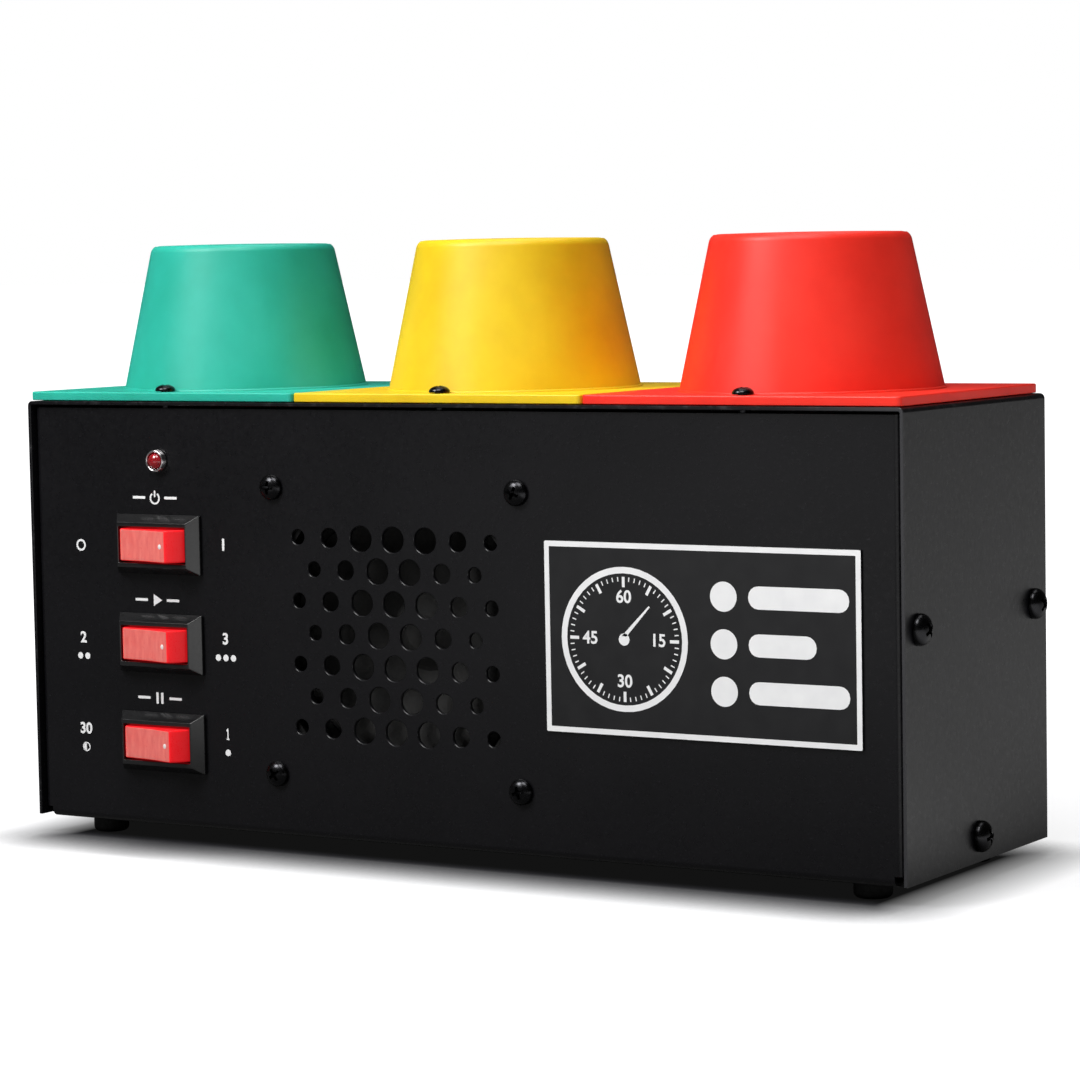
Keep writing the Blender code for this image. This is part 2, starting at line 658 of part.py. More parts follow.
def make_rocker(name, height):
    bm = bmesh.new()
    half = ROCKER_HEIGHT / 2
    outline = [bm.verts.new((x, -out, -half)) for x, out in rocker_outline()]
    side = bm.faces.new(outline)
    raised = bmesh.ops.extrude_face_region(bm, geom=[side])["geom"]
    for vert in (v for v in raised if isinstance(v, bmesh.types.BMVert)):
        vert.co.z = half
    pivot = (SWITCH_X, PIVOT_Y, height)
    turn = (0, 0, -ROCKER_TILT)
    mesh = mesh_of(f"{name}_rocker", bm)
    smooth(mesh)
    rocker = place(mesh.name, mesh, ROCKER_RED, pivot, turn)
    pin = cylinders_mesh(f"{name}_pin", [(PIN_RADIUS, PIN_LENGTH, (0, 0, 0))], "Z", 16)
    join(rocker, cutter_of(pin, pivot, turn))


# ---- indicator ----
def make_indicator():
    """A small red lamp in a chromed ring, held by a nut behind the panel."""
    spot = (INDICATOR_X, PANEL_FRONT - GAP, INDICATOR_Z)
    ring = [(0.0030, 0.0021), (0.0035, 0.0021), (0.0038, 0.0016), (0.0038, 0), (0.0030, 0)]
    ring += [(0.0030, -0.009), (0.0024, -0.009), (0.0024, 0), (0.0029, 0.0002)]
    ring_mesh = turned_mesh("indicator_ring", ring, 16)
    place("indicator_ring", ring_mesh, CHROME, spot, OUT_FRONT)
    dome = [(0.0026 * math.sin(a), 0.0012 + 0.0018 * math.cos(a))
            for a in (math.radians(30 * i) for i in range(4))]
    dome += [(0.0026, 0.0006), (0.0020, 0.0006), (0.0020, -0.007), (0, -0.007)]
    place("indicator_lens", turned_mesh("indicator_lens", dome, 12), LED_RED, spot, OUT_FRONT)
    bm = bmesh.new()
    y = PANEL_BACK + GAP + 0.001
    add_cylinder(bm, 0.0052, 0.002, (0, 0, 0), "Y", 6)
    seat = (INDICATOR_X, y, INDICATOR_Z)
    nut = place("indicator_nut", mesh_of("indicator_nut", bm), BARE_STEEL, seat)
    cut(nut, cutter_of(cylinders_mesh("nut_bore", [(INDICATOR_HOLE, 0.01, seat)], "Y", 20)))


# ---- loudspeaker, turned about its own axis with +Z out of the front ----
def make_speaker():
    spot = (SPEAKER_X, PANEL_BACK + GAP, SPEAKER_Z)
    half = SPEAKER_FRAME / 2

    def upright(middle):
        return abs(middle.x) > half * 0.9 and abs(middle.y) > half * 0.9

    plate = box_mesh(
        "speaker_basket",
        (SPEAKER_FRAME, SPEAKER_FRAME, 0.0015),
        (0, 0, -0.00075),
        0.012,
        4,
        upright,
    )
    basket = place("speaker_basket", plate, SPEAKER_STEEL, spot, OUT_FRONT)
    outside = [(0, -0.0002), (0.0510, -0.0002), (0.0510, -0.0072), (0.0460, -0.0084)]
    outside += [(0.0300, -0.0260), (0, -0.0260)]
    bowl = [(0, 0.001), (0.0498, 0.001), (0.0498, -0.0060), (0.0452, -0.0060)]
    bowl += [(0.0450, -0.0074), (0.0292, -0.0248), (0.0160, -0.0248), (0.0160, -0.0300), (0, -0.0300)]
    join(basket, cutter_of(turned_mesh("basket_outside", outside, 24), spot, OUT_FRONT))
    cut(basket, cutter_of(turned_mesh("basket_inside", bowl, 24), spot, OUT_FRONT))
    for i in range(2):
        window = box_mesh(f"basket_window_{i}", (0.12, 0.026, 0.0125), (0, 0, -0.0170))
        turn = (math.pi / 2, math.pi / 4 + i * math.pi / 2, 0)
        cut(basket, cutter_of(window, spot, turn))
    rows = [(SPEAKER_SCREW_HOLE, 0.01, (x, spot[1], z)) for _, x, z in speaker_screw_places()]
    cut(basket, cutter_of(cylinders_mesh("basket_screw_holes", rows, "Y", 8)))

    roll = arc((0.0457, -0.0050), 0.0028, 0, 180, 4)
    under = arc((0.0457, -0.0050), 0.0022, 180, 0, 4)
    edge = [(0.0494, -0.0050), (0.0494, -0.0057), (0.0479, -0.0057)]
    surround = roll[::-1] + edge + under[-2:0:-1] + [(0.0429, -0.0057)]
    surround_mesh = turned_mesh("speaker_surround", surround, 24)
    place("speaker_surround", surround_mesh, SPEAKER_FOAM, spot, OUT_FRONT)

    cone = [(0, -0.0135), (0.0060, -0.0145), (0.0118, -0.0180), (0.0132, -0.0185)]
    cone += [(0.0424, -0.0050), (0.0426, -0.0058), (0.0126, -0.0200), (0.0126, -0.0300)]
    cone += [(0.0121, -0.0300), (0.0121, -0.0195), (0.0060, -0.0155), (0, -0.0145)]
    place("speaker_cone", turned_mesh("speaker_cone", cone, 24), SPEAKER_PAPER, spot, OUT_FRONT)

    magnet = [(0, -0.0263), (0.0114, -0.0263), (0.0114, -0.0380), (0.0134, -0.0380)]
    magnet += [(0.0134, -0.0263), (0.0300, -0.0263), (0.0300, -0.0440), (0, -0.0440)]
    place("speaker_magnet", turned_mesh("speaker_magnet", magnet, 24), BARE_STEEL, spot, OUT_FRONT)

    screw = pan_screw_mesh("speaker_screw", *SPEAKER_SCREW)
    for where, x, z in speaker_screw_places():
        seat = (x, PANEL_FRONT - GAP, z)
        place(f"speaker_screw_{where}", screw, SCREW_BLACK, seat, OUT_FRONT)


# ---- electrics inside the case ----
def make_inlet():
    """A three-pin appliance inlet in the back panel."""
    front = CHASSIS_DEPTH / 2 + GAP
    spot = (INLET_X, front, INLET_Z)
    flange_size = (INLET_FLANGE[0], INLET_RISE, INLET_FLANGE[1])

    def corners(middle):
        return abs(middle.x) > flange_size[0] * 0.45 and abs(middle.z) > flange_size[2] * 0.45

    middle = (0, INLET_RISE / 2, 0)
    flange = box_mesh("power_inlet", flange_size, middle, INLET_CORNER, 3, corners)
    inlet = place("power_inlet", flange, INLET_BLACK, spot)
    shell = box_mesh("inlet_shell", INLET_SHELL, (0, 0.00125 - INLET_SHELL[1] / 2, 0))
    join(inlet, cutter_of(shell, spot))
    wide, tall = INLET_SOCKET

    def upper_sides(middle):
        return abs(middle.x) > wide * 0.45 and middle.z > tall * 0.45

    bottom = INLET_RISE + 0.001 - INLET_DEPTH
    size = (wide, INLET_DEPTH, tall)
    middle = (0, bottom + INLET_DEPTH / 2, 0)
    socket = box_mesh("inlet_socket", size, middle, INLET_CHAMFER, 1, upper_sides)
    cut(inlet, cutter_of(socket, spot))
    rows = [(LENS_SCREW_HOLE, 0.02, (x - INLET_X, 0, 0)) for _, x in inlet_screw_places()]
    cut(inlet, cutter_of(cylinders_mesh("inlet_flange_holes", rows, "Y", 8), spot))
    bm = bmesh.new()
    for x, z in INLET_PINS:
        add_box(bm, INLET_PIN, (x, bottom - 0.00145 + INLET_PIN[1] / 2, z))
    join(inlet, cutter_of(mesh_of("inlet_pins", bm), spot))
    screw = pan_screw_mesh("inlet_screw", *INLET_SCREW)
    seat = front + INLET_RISE + GAP
    for side, x in inlet_screw_places():
        place(f"inlet_screw_{side}", screw, SCREW_BLACK, (x, seat, INLET_Z), OUT_BACK)


def make_transformer():
    """A laminated core round a wound bobbin, on two mounting tabs."""
    spot = (*TRANSFORMER_PLACE, SHEET + GAP)
    middle = (0, 0, TRANSFORMER_CORE[2] / 2)
    core = box_mesh("transformer", TRANSFORMER_CORE, middle)
    transformer = place("transformer", core, TRANSFORMER, spot)
    winding = box_mesh("winding", TRANSFORMER_WINDING, middle, 0.004, 2)
    tabs = box_mesh("transformer_tabs", TRANSFORMER_TABS, (0, 0, TRANSFORMER_TABS[2] / 2))
    join(transformer, cutter_of(winding, spot), cutter_of(tabs, spot))


def make_control_board():
    """The timing board with its relays, held along two edges by slotted rails."""
    centre, size = BOARD_CENTRE, BOARD_SIZE
    board = place("control_board", box_mesh("control_board", size), BOARD_GREEN, centre)
    bm = bmesh.new()
    sunk = size[2] / 4
    blocks = [(RELAY, (-0.034 + 0.023 * i, 0.020)) for i in range(3)]
    blocks += [(CHIP, (-0.010, -0.012)), (CONNECTOR, (0.036, 0.024)), (SMALL_CHIP, (-0.034, -0.012))]
    for block, (x, y) in blocks:
        add_box(bm, block, (x, y, block[2] / 2 + sunk))
    radius, height = CAPACITOR
    for x in (0.020, 0.036):
        add_cylinder(bm, radius, height, (x, -0.008, height / 2 + sunk), "Z", 12)
    join(board, cutter_of(mesh_of("board_parts", bm), centre))
    for side, direction in (("left", -1), ("right", 1)):
        rail_x = centre[0] + direction * size[0] / 2
        spot = (rail_x, centre[1], SHEET + GAP + BOARD_RAIL[2] / 2)
        rail = place(f"board_rail_{side}", box_mesh("board_rail", BOARD_RAIL), RAIL_NYLON, spot)
        groove = (BOARD_RAIL[0] + 2 * GAP, size[1], size[2] + 2 * GAP)
        slot = box_mesh(f"rail_slot_{side}", groove, (-direction * BOARD_RAIL[0] / 2, 0, 0))
        cut(rail, cutter_of(slot, (rail_x, centre[1], centre[2])))


def make_loom(name, points, radius):
    """A sleeved bundle of wires along a smooth run."""
    curve = bpy.data.curves.new(name, "CURVE")
    curve.dimensions = "3D"
    curve.bevel_depth = radius
    curve.bevel_resolution = 2
    curve.use_fill_caps = True
    spline = curve.splines.new("POLY")
    count = 3
    ends = [points[0], *points, points[-1]]
    run = []
    for before, start, end, after in zip(ends, ends[1:], ends[2:], ends[3:]):
        for i in range(count):
            run.append(between(*(Vector(p) for p in (before, start, end, after)), i / count))
    run.append(Vector(points[-1]))
    spline.points.add(len(run) - 1)
    for point, at in zip(spline.points, run):
        point.co = (*at, 1)
    loom = bpy.data.objects.new(name, curve)
    loom.parent = frame
    PARTS.objects.link(loom)
    curve.materials.append(WIRE_GREY)


def between(before, start, end, after, share):
    """A point on the smooth curve through start and end."""
    squared, cubed = share**2, share**3
    return 0.5 * (
        2 * start
        + (end - before) * share
        + (2 * before - 5 * start + 4 * end - after) * squared
        + (3 * start - before - 3 * end + after) * cubed
    )


def make_looms():
    tails = PIVOT_Y + 0.0265
    switch_run = [(-0.0965, 0.030, 0.0200), (-0.105, 0.018, 0.028), (-0.110, 0.004, 0.045)]
    switch_run += [(-0.110, tails + 0.012, 0.070), (-0.110, tails + 0.012, 0.104)]
    make_loom("switch_loom", switch_run, 0.0019)
    mains_run = [(0.130, 0.0235, 0.034), (0.126, 0.014, 0.034), (0.112, 0.010, 0.040)]
    mains_run += [(0.100, 0.012, 0.040), (0.0945, 0.014, 0.034)]
    make_loom("mains_loom", mains_run, 0.0016)


make_chassis()
make_cover()
make_cover_screws()
make_feet()
make_nameplate()
make_lenses()
make_lens_screws()
make_lamp_rail()
make_lamps()
for switch, switch_height in SWITCH_HEIGHTS.items():
    make_switch(switch, switch_height)
    make_rocker(switch, switch_height)
make_indicator()
make_speaker()
make_inlet()
make_transformer()
make_control_board()
make_looms()
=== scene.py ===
"""The looks of the gym round timer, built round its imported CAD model. Metres, +Z up, front towards -Y."""

import json
import math

import bmesh
import bpy
from mathutils import Matrix, Vector


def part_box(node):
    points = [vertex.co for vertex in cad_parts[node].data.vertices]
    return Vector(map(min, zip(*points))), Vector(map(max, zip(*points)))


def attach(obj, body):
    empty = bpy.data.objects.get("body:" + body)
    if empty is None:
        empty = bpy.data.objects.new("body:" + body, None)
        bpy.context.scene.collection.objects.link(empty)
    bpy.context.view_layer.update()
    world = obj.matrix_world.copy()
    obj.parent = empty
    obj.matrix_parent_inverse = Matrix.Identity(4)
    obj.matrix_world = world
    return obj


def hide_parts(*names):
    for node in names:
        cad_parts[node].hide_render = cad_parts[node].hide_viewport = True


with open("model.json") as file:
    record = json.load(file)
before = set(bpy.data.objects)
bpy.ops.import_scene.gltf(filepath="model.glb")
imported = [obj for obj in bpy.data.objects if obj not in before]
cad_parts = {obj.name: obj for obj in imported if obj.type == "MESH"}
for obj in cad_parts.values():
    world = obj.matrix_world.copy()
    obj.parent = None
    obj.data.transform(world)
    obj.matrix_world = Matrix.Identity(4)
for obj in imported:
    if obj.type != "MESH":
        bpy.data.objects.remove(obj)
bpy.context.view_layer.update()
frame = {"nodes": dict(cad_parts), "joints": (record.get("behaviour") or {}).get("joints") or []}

# ---- sizes shared with the CAD, in metres ----
SHEET = 0.0012  # steel thickness
GAP = 0.0003  # between pieces that touch
CHASSIS_BEND = 0.0026
COVER_BEND = 0.0017
FLANGE_WIDTH = 0.013
CORNER_RELIEF = 0.0034
LAMP_OPENING = 0.034

LENS_FLANGE = 0.0029
LENS_BASE_RADIUS = 0.0415
LENS_TOP_RADIUS = 0.0310
LENS_WALL = 0.002
LENS_CORNER = 0.0034
LENS_FILLET = 0.00066
LENS_CROWN = 0.0003  # rise of the cup's top
FLANGE_CORNER = 0.0016
FLANGE_EDGE = 0.0005

BEZEL_TOP = (0.0289, 0.0150)
BEZEL_RISE = 0.005
PIVOT_DEPTH = 0.0065
ROCKER_RADIUS = 0.0146
ROCKER_HEIGHT = 0.0108
TRUNNION = 0.0015  # how far each pin stands out of the rocker
ROCKER_TILT = math.radians(12)
ROCKER_DISH = math.radians(4)
PIN_RADIUS = 0.0012
SWITCH_BODY = (0.0316, 0.0205, 0.0148)
SWITCH_CAVITY = (0.0298, 0.0122)
SWITCH_MOUTH = 0.0278
SWITCH_LIP = 0.0011
CAVITY_DEPTH = 0.0155
TERMINAL_PITCH = 0.0095
ROCKER_DOT_RADIUS = 0.00085
ROCKER_DOT_INSET = 0.0025

HOLE_PITCH_X = 0.0124
HOLE_PITCH_Z = 0.0104
HOLE_ROWS = (7, 6, 7, 6, 7, 6, 7)
HOLE_RADII = (0.0042, 0.0042, 0.0032, 0.0025)  # from the middle outwards

# Way that each kind's head faces, and radius of its hole in the steel; a cover screw has its side.
SCREW_FACES = {"foot": "down", "lens": "up", "speaker": "front", "inlet": "back"}
SCREW_HOLES = {"speaker": 0.0022, "inlet": 0.0018, "foot": 0.0015, "cover": 0.0018, "lens": 0.0018}
MOULDING_HOLE = 0.0019
INDICATOR_HOLE = 0.0033

INLET_RISE = 0.0022
INLET_BODY = (0.0280, 0.0200)
INLET_CUTOUT = (0.0286, 0.0206)
INLET_SOCKET = (0.0246, 0.0168)
INLET_SOCKET_CHAMFER = 0.0035
INLET_DEPTH = 0.020

# Head radius, head height, shank radius and length of each kind of screw.
SCREWS = {
    "cover": (0.0049, 0.0036, 0.00145, 0.0078),
    "foot": (0.0026, 0.0017, 0.00115, 0.0090),
    "lens": (0.0034, 0.0022, 0.0015, 0.0090),
    "speaker": (0.0042, 0.0026, 0.0019, 0.0090),
    "inlet": (0.0030, 0.0019, 0.0014, 0.0080),
}

# ---- places read from the frame ----
COVER_LOW, COVER_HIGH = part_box("cover")
CHASSIS_LOW, CHASSIS_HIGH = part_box("chassis")
PANEL_Y = CHASSIS_LOW.y  # the outside of the front panel
MIDDLE_Y = (COVER_LOW.y + COVER_HIGH.y) / 2
UNDERSIDE = CHASSIS_LOW.z
PIVOTS = {
    joint["child"]: Vector(joint["pos_m"]) for joint in frame["joints"] if joint["type"] == "hinge"
}
SWITCHES = ("power", "round", "rest")
COLOURS = ("green", "yellow", "red")
CLEAR = 0.00002  # between a terminal, lug or pin and the face that it stands on


def middle_of(node):
    low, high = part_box(node)
    return (low + high) / 2


# ---- mesh tools ----
def skin(bm, rows, wrap=False):
    """Faces between rows of points. A row of one point is a pole, and other end rows are capped."""
    made = [[bm.verts.new(point) for point in row] for row in rows]
    pairs = list(zip(made, made[1:]))
    if wrap:
        pairs.append((made[-1], made[0]))
    for upper, lower in pairs:
        count = max(len(upper), len(lower))
        for i in range(count):
            j = (i + 1) % count
            corners = (upper[i % len(upper)], lower[i % len(lower)], lower[j % len(lower)])
            corners += (upper[j % len(upper)],)
            bm.faces.new(dict.fromkeys(corners))
    if not wrap:
        for row in (made[0], made[-1]):
            if len(row) > 1:
                bm.faces.new(row)


def ring(radius, height, segments):
    if radius == 0:
        return [Vector((0, 0, height))]
    turns = (2 * math.pi * i / segments for i in range(segments))
    return [Vector((radius * math.cos(a), radius * math.sin(a), height)) for a in turns]


def lathe(bm, profile, segments=48, matrix=None, wrap=False):
    """Turns a profile of (radius, height) round Z, then moves it by the matrix."""
    matrix = matrix or Matrix.Identity(4)
    rows = [[matrix @ p for p in ring(radius, height, segments)] for radius, height in profile]
    skin(bm, rows, wrap)


def arc(centre, radius, start, end, count):
    """Points on an arc, as radius and height; angles in degrees from the outward direction."""
    angles = [math.radians(start + (end - start) * i / count) for i in range(count + 1)]
    return [(centre[0] + radius * math.cos(a), centre[1] + radius * math.sin(a)) for a in angles]


def add_box(bm, low, high):
    size = Vector(high) - Vector(low)
    matrix = Matrix.Translation(Vector(low) + size / 2) @ Matrix.Diagonal((*size, 1))
    return bmesh.ops.create_cube(bm, size=1, matrix=matrix)["verts"]


def round_edges(bm, radius, segments=3, chosen=None, sharper_than=30):
    """Rounds the edges that chosen accepts by their middle, or all that turn more than an angle."""
    bmesh.ops.recalc_face_normals(bm, faces=bm.faces)
    edges = [e for e in bm.edges if e.calc_face_angle(0) > math.radians(sharper_than)]
    if chosen:
        edges = [e for e in edges if chosen((e.verts[0].co + e.verts[1].co) / 2)]
    bmesh.ops.bevel(bm, geom=edges, offset=radius, segments=segments, profile=0.5, affect="EDGES")


def mesh_of(name, bm, *materials, angle=38):
    bmesh.ops.recalc_face_normals(bm, faces=bm.faces)
    mesh = bpy.data.meshes.new(name)
    bm.to_mesh(mesh)
    bm.free()
    return dressed(mesh, *materials, angle=angle)


def dressed(mesh, *materials, angle=38):
    mesh.shade_smooth()
    mesh.set_sharp_from_angle(angle=math.radians(angle))
    for made_of in materials:
        mesh.materials.append(made_of)
    return mesh


def linked(name, mesh):
    made = bpy.data.objects.new(name, mesh)
    bpy.context.scene.collection.objects.link(made)
    return made


def cut(mesh, *cutters, operation="DIFFERENCE"):
    """The mesh with each cutter's shape taken out of it, or joined to it."""
    held = linked(mesh.name, mesh)
    tools = [linked(cutter.name, cutter) for cutter in cutters]
    for tool in tools:
        step = held.modifiers.new("cut", "BOOLEAN")
        step.operation = operation
        step.object = tool
        step.solver = "EXACT"
    graph = bpy.context.evaluated_depsgraph_get()
    graph.update()
    made = bpy.data.meshes.new_from_object(held.evaluated_get(graph))
    for used in (held, *tools):
        bpy.data.objects.remove(used, do_unlink=True)
    made.name = mesh.name
    return dressed(made)


def show(name, mesh, body, stands_for=(), matrix=None, even=False):
    """A piece on a body; even weights its normals by area, which keeps wide flat faces flat."""
    made = linked(name, mesh)
    if matrix:
        made.matrix_world = matrix
    if even:
        made.modifiers.new("even_normals", "WEIGHTED_NORMAL").keep_sharp = True
    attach(made, body)
    if stands_for:
        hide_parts(*stands_for)
    return made


# ---- materials ----
def linear(red, green, blue):
    """Linear light of a colour given as it looks on a screen, from 0 to 255."""
    shares = (value / 255 for value in (red, green, blue))
    return tuple(s / 12.92 if s <= 0.04045 else ((s + 0.055) / 1.055) ** 2.4 for s in shares)


class Paint:
    """A Principled material and the nodes that feed it."""

    def __init__(self, name, **sockets):
        self.material = bpy.data.materials.new(name)
        self.material.use_nodes = True
        self.nodes = self.material.node_tree.nodes
        self.links = self.material.node_tree.links
        self.shader = self.nodes["Principled BSDF"]
        for socket, value in sockets.items():
            self.shader.inputs[socket.replace("_", " ")].default_value = value

    def add(self, kind, **settings):
        node = self.nodes.new("ShaderNode" + kind)
        for key, value in settings.items():
            setattr(node, key, value)
        return node

    def join(self, out, into):
        self.links.new(out, into)

    def place(self, stretch=(1, 1, 1)):
        """Object coordinates, in metres, stretched along each axis."""
        mapping = self.add("Mapping")
        mapping.inputs["Scale"].default_value = stretch
        self.join(self.add("TexCoord").outputs["Object"], mapping.inputs["Vector"])
        return mapping.outputs["Vector"]

    def noise(self, scale, detail=2.0, stretch=(1, 1, 1), roughness=0.5):
        node = self.add("TexNoise")
        node.inputs["Scale"].default_value = scale
        node.inputs["Detail"].default_value = detail
        node.inputs["Roughness"].default_value = roughness
        self.join(self.place(stretch), node.inputs["Vector"])
        return node.outputs["Fac"]

    def math(self, operation, *values):
        node = self.add("Math", operation=operation)
        for socket, value in zip(node.inputs, values):
            if isinstance(value, (int, float)):
                socket.default_value = value
            else:
                self.join(value, socket)
        return node.outputs[0]

    def ranged(self, value, low, high, start=0.3, end=0.7):
        """Maps a value from start..end to low..high."""
        node = self.add("MapRange")
        for socket, number in zip(("From Min", "From Max", "To Min", "To Max"), (start, end, low, high)):
            node.inputs[socket].default_value = number
        self.join(value, node.inputs["Value"])
        return node.outputs["Result"]

    def ramp(self, value, *stops):
        """Colours along a value; each stop is a place and a colour."""
        node = self.add("ValToRGB")
        points = node.color_ramp.elements
        while len(points) < len(stops):
            points.new(0.5)
        for point, (at, colour) in zip(points, stops):
            point.position = at
            point.color = (*colour, 1)
        self.join(value, node.inputs["Fac"])
        return node.outputs["Color"]

    def mix(self, share, first, second):
        node = self.add("Mix", data_type="RGBA")
        self.join(share, node.inputs["Factor"])
        for socket, colour in ((node.inputs[6], first), (node.inputs[7], second)):
            if isinstance(colour, tuple):
                socket.default_value = (*colour, 1)
            else:
                self.join(colour, socket)
        return node.outputs[2]

    def colour(self, value):
        self.join(value, self.shader.inputs["Base Color"])

    def rough(self, value):
        self.join(value, self.shader.inputs["Roughness"])

    def bump(self, *layers):
        """Relief from (value, height in metres) layers."""
        before = None
        for value, height in layers:
            node = self.add("Bump")
            node.inputs["Distance"].default_value = height
            self.join(value, node.inputs["Height"])
            if before:
                self.join(before, node.inputs["Normal"])
            before = node.outputs["Normal"]
        self.join(before, self.shader.inputs["Normal"])


def grey(level, blue=0.0):
    return (level, level, level + blue)


def plain_paint(name, dark, light, roughness, grain, height, metallic=0.0, stretch=(1, 1, 1), **more):
    """A surface whose colour, roughness and relief vary with grain of one scale."""
    paint = Paint(name, Metallic=metallic, **more)
    cloud = paint.noise(grain / 12, 3, stretch)
    fine = paint.noise(grain, 3, stretch)
    paint.colour(paint.ramp(cloud, (0.3, dark), (0.7, light)))
    paint.rough(paint.ranged(fine, *roughness))
    paint.bump((fine, height))
    return paint.material


def powder_coat():
    """Fine-textured black powder coat, worn lighter along the case's edges, with a painted highlight on the
    cover's front and back cut edges at its right end.
    """
    paint = Paint("case_powder_coat", Specular_IOR_Level=0.34)
    fleck = paint.noise(1500, 2)
    texture = paint.noise(620, 3, roughness=0.6)
    cloud = paint.noise(28, 3)
    base = paint.ramp(cloud, (0.3, (0.0030, 0.0029, 0.0037)), (0.7, (0.0044, 0.0042, 0.0052)))
    flecked = paint.mix(paint.ranged(fleck, 0, 0.35, 0.62, 0.75), base, (0.026, 0.026, 0.031))
    split = paint.add("SeparateXYZ")
    paint.join(paint.place(), split.inputs["Vector"])
    worn = None
    extents = (
        ("X", COVER_LOW.x, COVER_HIGH.x),
        ("Y", COVER_LOW.y, COVER_HIGH.y),
        ("Z", UNDERSIDE, COVER_HIGH.z),
    )
    for axis, low, high in extents:
        inward = paint.math("ABSOLUTE", paint.math("SUBTRACT", split.outputs[axis], (low + high) / 2))
        near = paint.ranged(inward, 0, 1, (high - low) / 2 - 0.0030, (high - low) / 2 - 0.0002)
        worn = near if worn is None else paint.math("ADD", worn, near)
    scuff = paint.ranged(paint.noise(260, 4, roughness=0.7), 0, 0.5, 0.54, 0.66)
    wear_and_highlight = paint.math("MULTIPLY", paint.ranged(worn, 0, 1, 1.35, 2.0), scuff)
    depth = paint.math("ABSOLUTE", paint.math("SUBTRACT", split.outputs["Y"], MIDDLE_Y))
    half = (COVER_HIGH.y - COVER_LOW.y) / 2
    # Painted highlight: the cover's front and back cut edges are lightened at its right end only, as if
    # light from the right caught them.
    cut_edge_highlight = paint.ranged(depth, 0, 1, half - 0.0004, half - 0.0001)
    cut_edge_highlight = paint.math("MULTIPLY", cut_edge_highlight, paint.ranged(split.outputs["X"], 0, 0.6, 0.12, 0.16))
    wear_and_highlight = paint.math("MAXIMUM", wear_and_highlight, cut_edge_highlight)
    # The lighter colour serves both the edge wear and the painted highlight.
    paint.colour(paint.mix(wear_and_highlight, flecked, (0.060, 0.060, 0.064)))
    paint.rough(paint.ranged(texture, 0.26, 0.35))
    paint.bump((texture, 0.00003), (fleck, 0.000012))
    return paint.material


def lens_paint(colour, base, deep, pale):
    """Satin translucent plastic, cloudy inside and finely textured outside."""
    paint = Paint(
        f"lens_{colour}",
        Subsurface_Weight=0.22,
        Subsurface_Scale=0.006,
        Subsurface_Radius=tuple(0.25 + 0.75 * share / max(base) for share in base),
        Specular_IOR_Level=0.36,
    )
    cloud = paint.noise(32, 4, roughness=0.6)
    texture = paint.noise(1100, 2)
    tool_marks = paint.noise(90, 2, stretch=(1, 1, 0.12))
    paint.colour(paint.ramp(cloud, (0.30, deep), (0.52, base), (0.74, pale)))
    paint.rough(paint.ranged(tool_marks, 0.36, 0.46))
    paint.bump((tool_marks, 0.00005), (texture, 0.000008))
    return paint.material


def metal_paint(name, colour, roughness, brushed=(1, 1, 1)):
    """Plated or polished metal with fine scratches along one way."""
    paint = Paint(name, Metallic=1.0)
    cloud = paint.noise(45, 3)
    scratch = paint.noise(2600, 2, brushed)
    paint.colour(paint.ramp(cloud, (0.3, tuple(0.82 * c for c in colour)), (0.7, colour)))
    paint.rough(paint.ranged(scratch, roughness * 0.75, roughness * 1.35))
    paint.bump((scratch, 0.000003))
    return paint.material


def rocker_paint(name, deep, pale, roughness, moulded, coat=0.1, painted_glow=0.0, shine=0.5):
    """Clear red plastic, cloudy with the light that it scatters."""
    paint = Paint(
        name,
        Subsurface_Weight=0.35,
        Subsurface_Scale=0.0025,
        Subsurface_Radius=(1.0, 0.12, 0.10),
        Emission_Color=(1.0, 0.008, 0.014, 1),
        Emission_Strength=painted_glow,
        Coat_Weight=coat,
        Coat_Roughness=0.15,
        Specular_IOR_Level=shine,
    )
    streaks = paint.noise(420, 3, stretch=(1.6, 1, 0.35))
    fine = paint.noise(1700, 2)
    paint.colour(paint.ramp(streaks, (0.28, deep), (0.72, pale)))
    paint.rough(paint.ranged(fine, roughness - 0.05, roughness + 0.07))
    paint.bump((streaks, moulded), (fine, 0.000004))
    return paint.material


def board_paint():
    """Green solder mask with paler tracks under it."""
    paint = Paint("circuit_board", Coat_Weight=0.5, Coat_Roughness=0.15)
    tracks = paint.add("TexBrick", offset=0.5, squash=1.0)
    shape = (("Scale", 190), ("Mortar Size", 0.09), ("Brick Width", 1.6), ("Row Height", 0.42))
    for socket, value in shape:
        tracks.inputs[socket].default_value = value
    paint.join(paint.place(), tracks.inputs["Vector"])
    paint.colour(paint.mix(tracks.outputs["Fac"], (0.008, 0.115, 0.050), (0.020, 0.200, 0.085)))
    fine = paint.noise(1500, 2)
    paint.rough(paint.ranged(fine, 0.32, 0.45))
    paint.bump((tracks.outputs["Fac"], 0.00003))
    return paint.material


def sleeve_paint():
    """Braided sleeve over a bundle of wires."""
    paint = Paint("wire_sleeve")
    heights = []
    for lean in (1, -1):
        wave = paint.add("TexWave", wave_type="BANDS", bands_direction="DIAGONAL")
        wave.inputs["Scale"].default_value = 420
        paint.join(paint.place((lean, 1, 1)), wave.inputs["Vector"])
        heights.append(wave.outputs["Fac"])
    weave = paint.math("MAXIMUM", *heights)
    paint.colour(paint.ramp(weave, (0.2, (0.030, 0.030, 0.033)), (0.9, (0.105, 0.105, 0.115))))
    paint.rough(paint.ranged(weave, 0.62, 0.45))
    paint.bump((weave, 0.0001))
    return paint.material


def print_paint():
    """White screen-printing ink, a little uneven."""
    paint = Paint("print_white")
    cloud = paint.noise(140, 3)
    fine = paint.noise(2300, 2)
    paint.colour(paint.ramp(cloud, (0.3, linear(231, 231, 232)), (0.7, linear(239, 239, 239))))
    paint.rough(paint.ranged(fine, 0.44, 0.56))
    paint.bump((fine, 0.000005))
    return paint.material


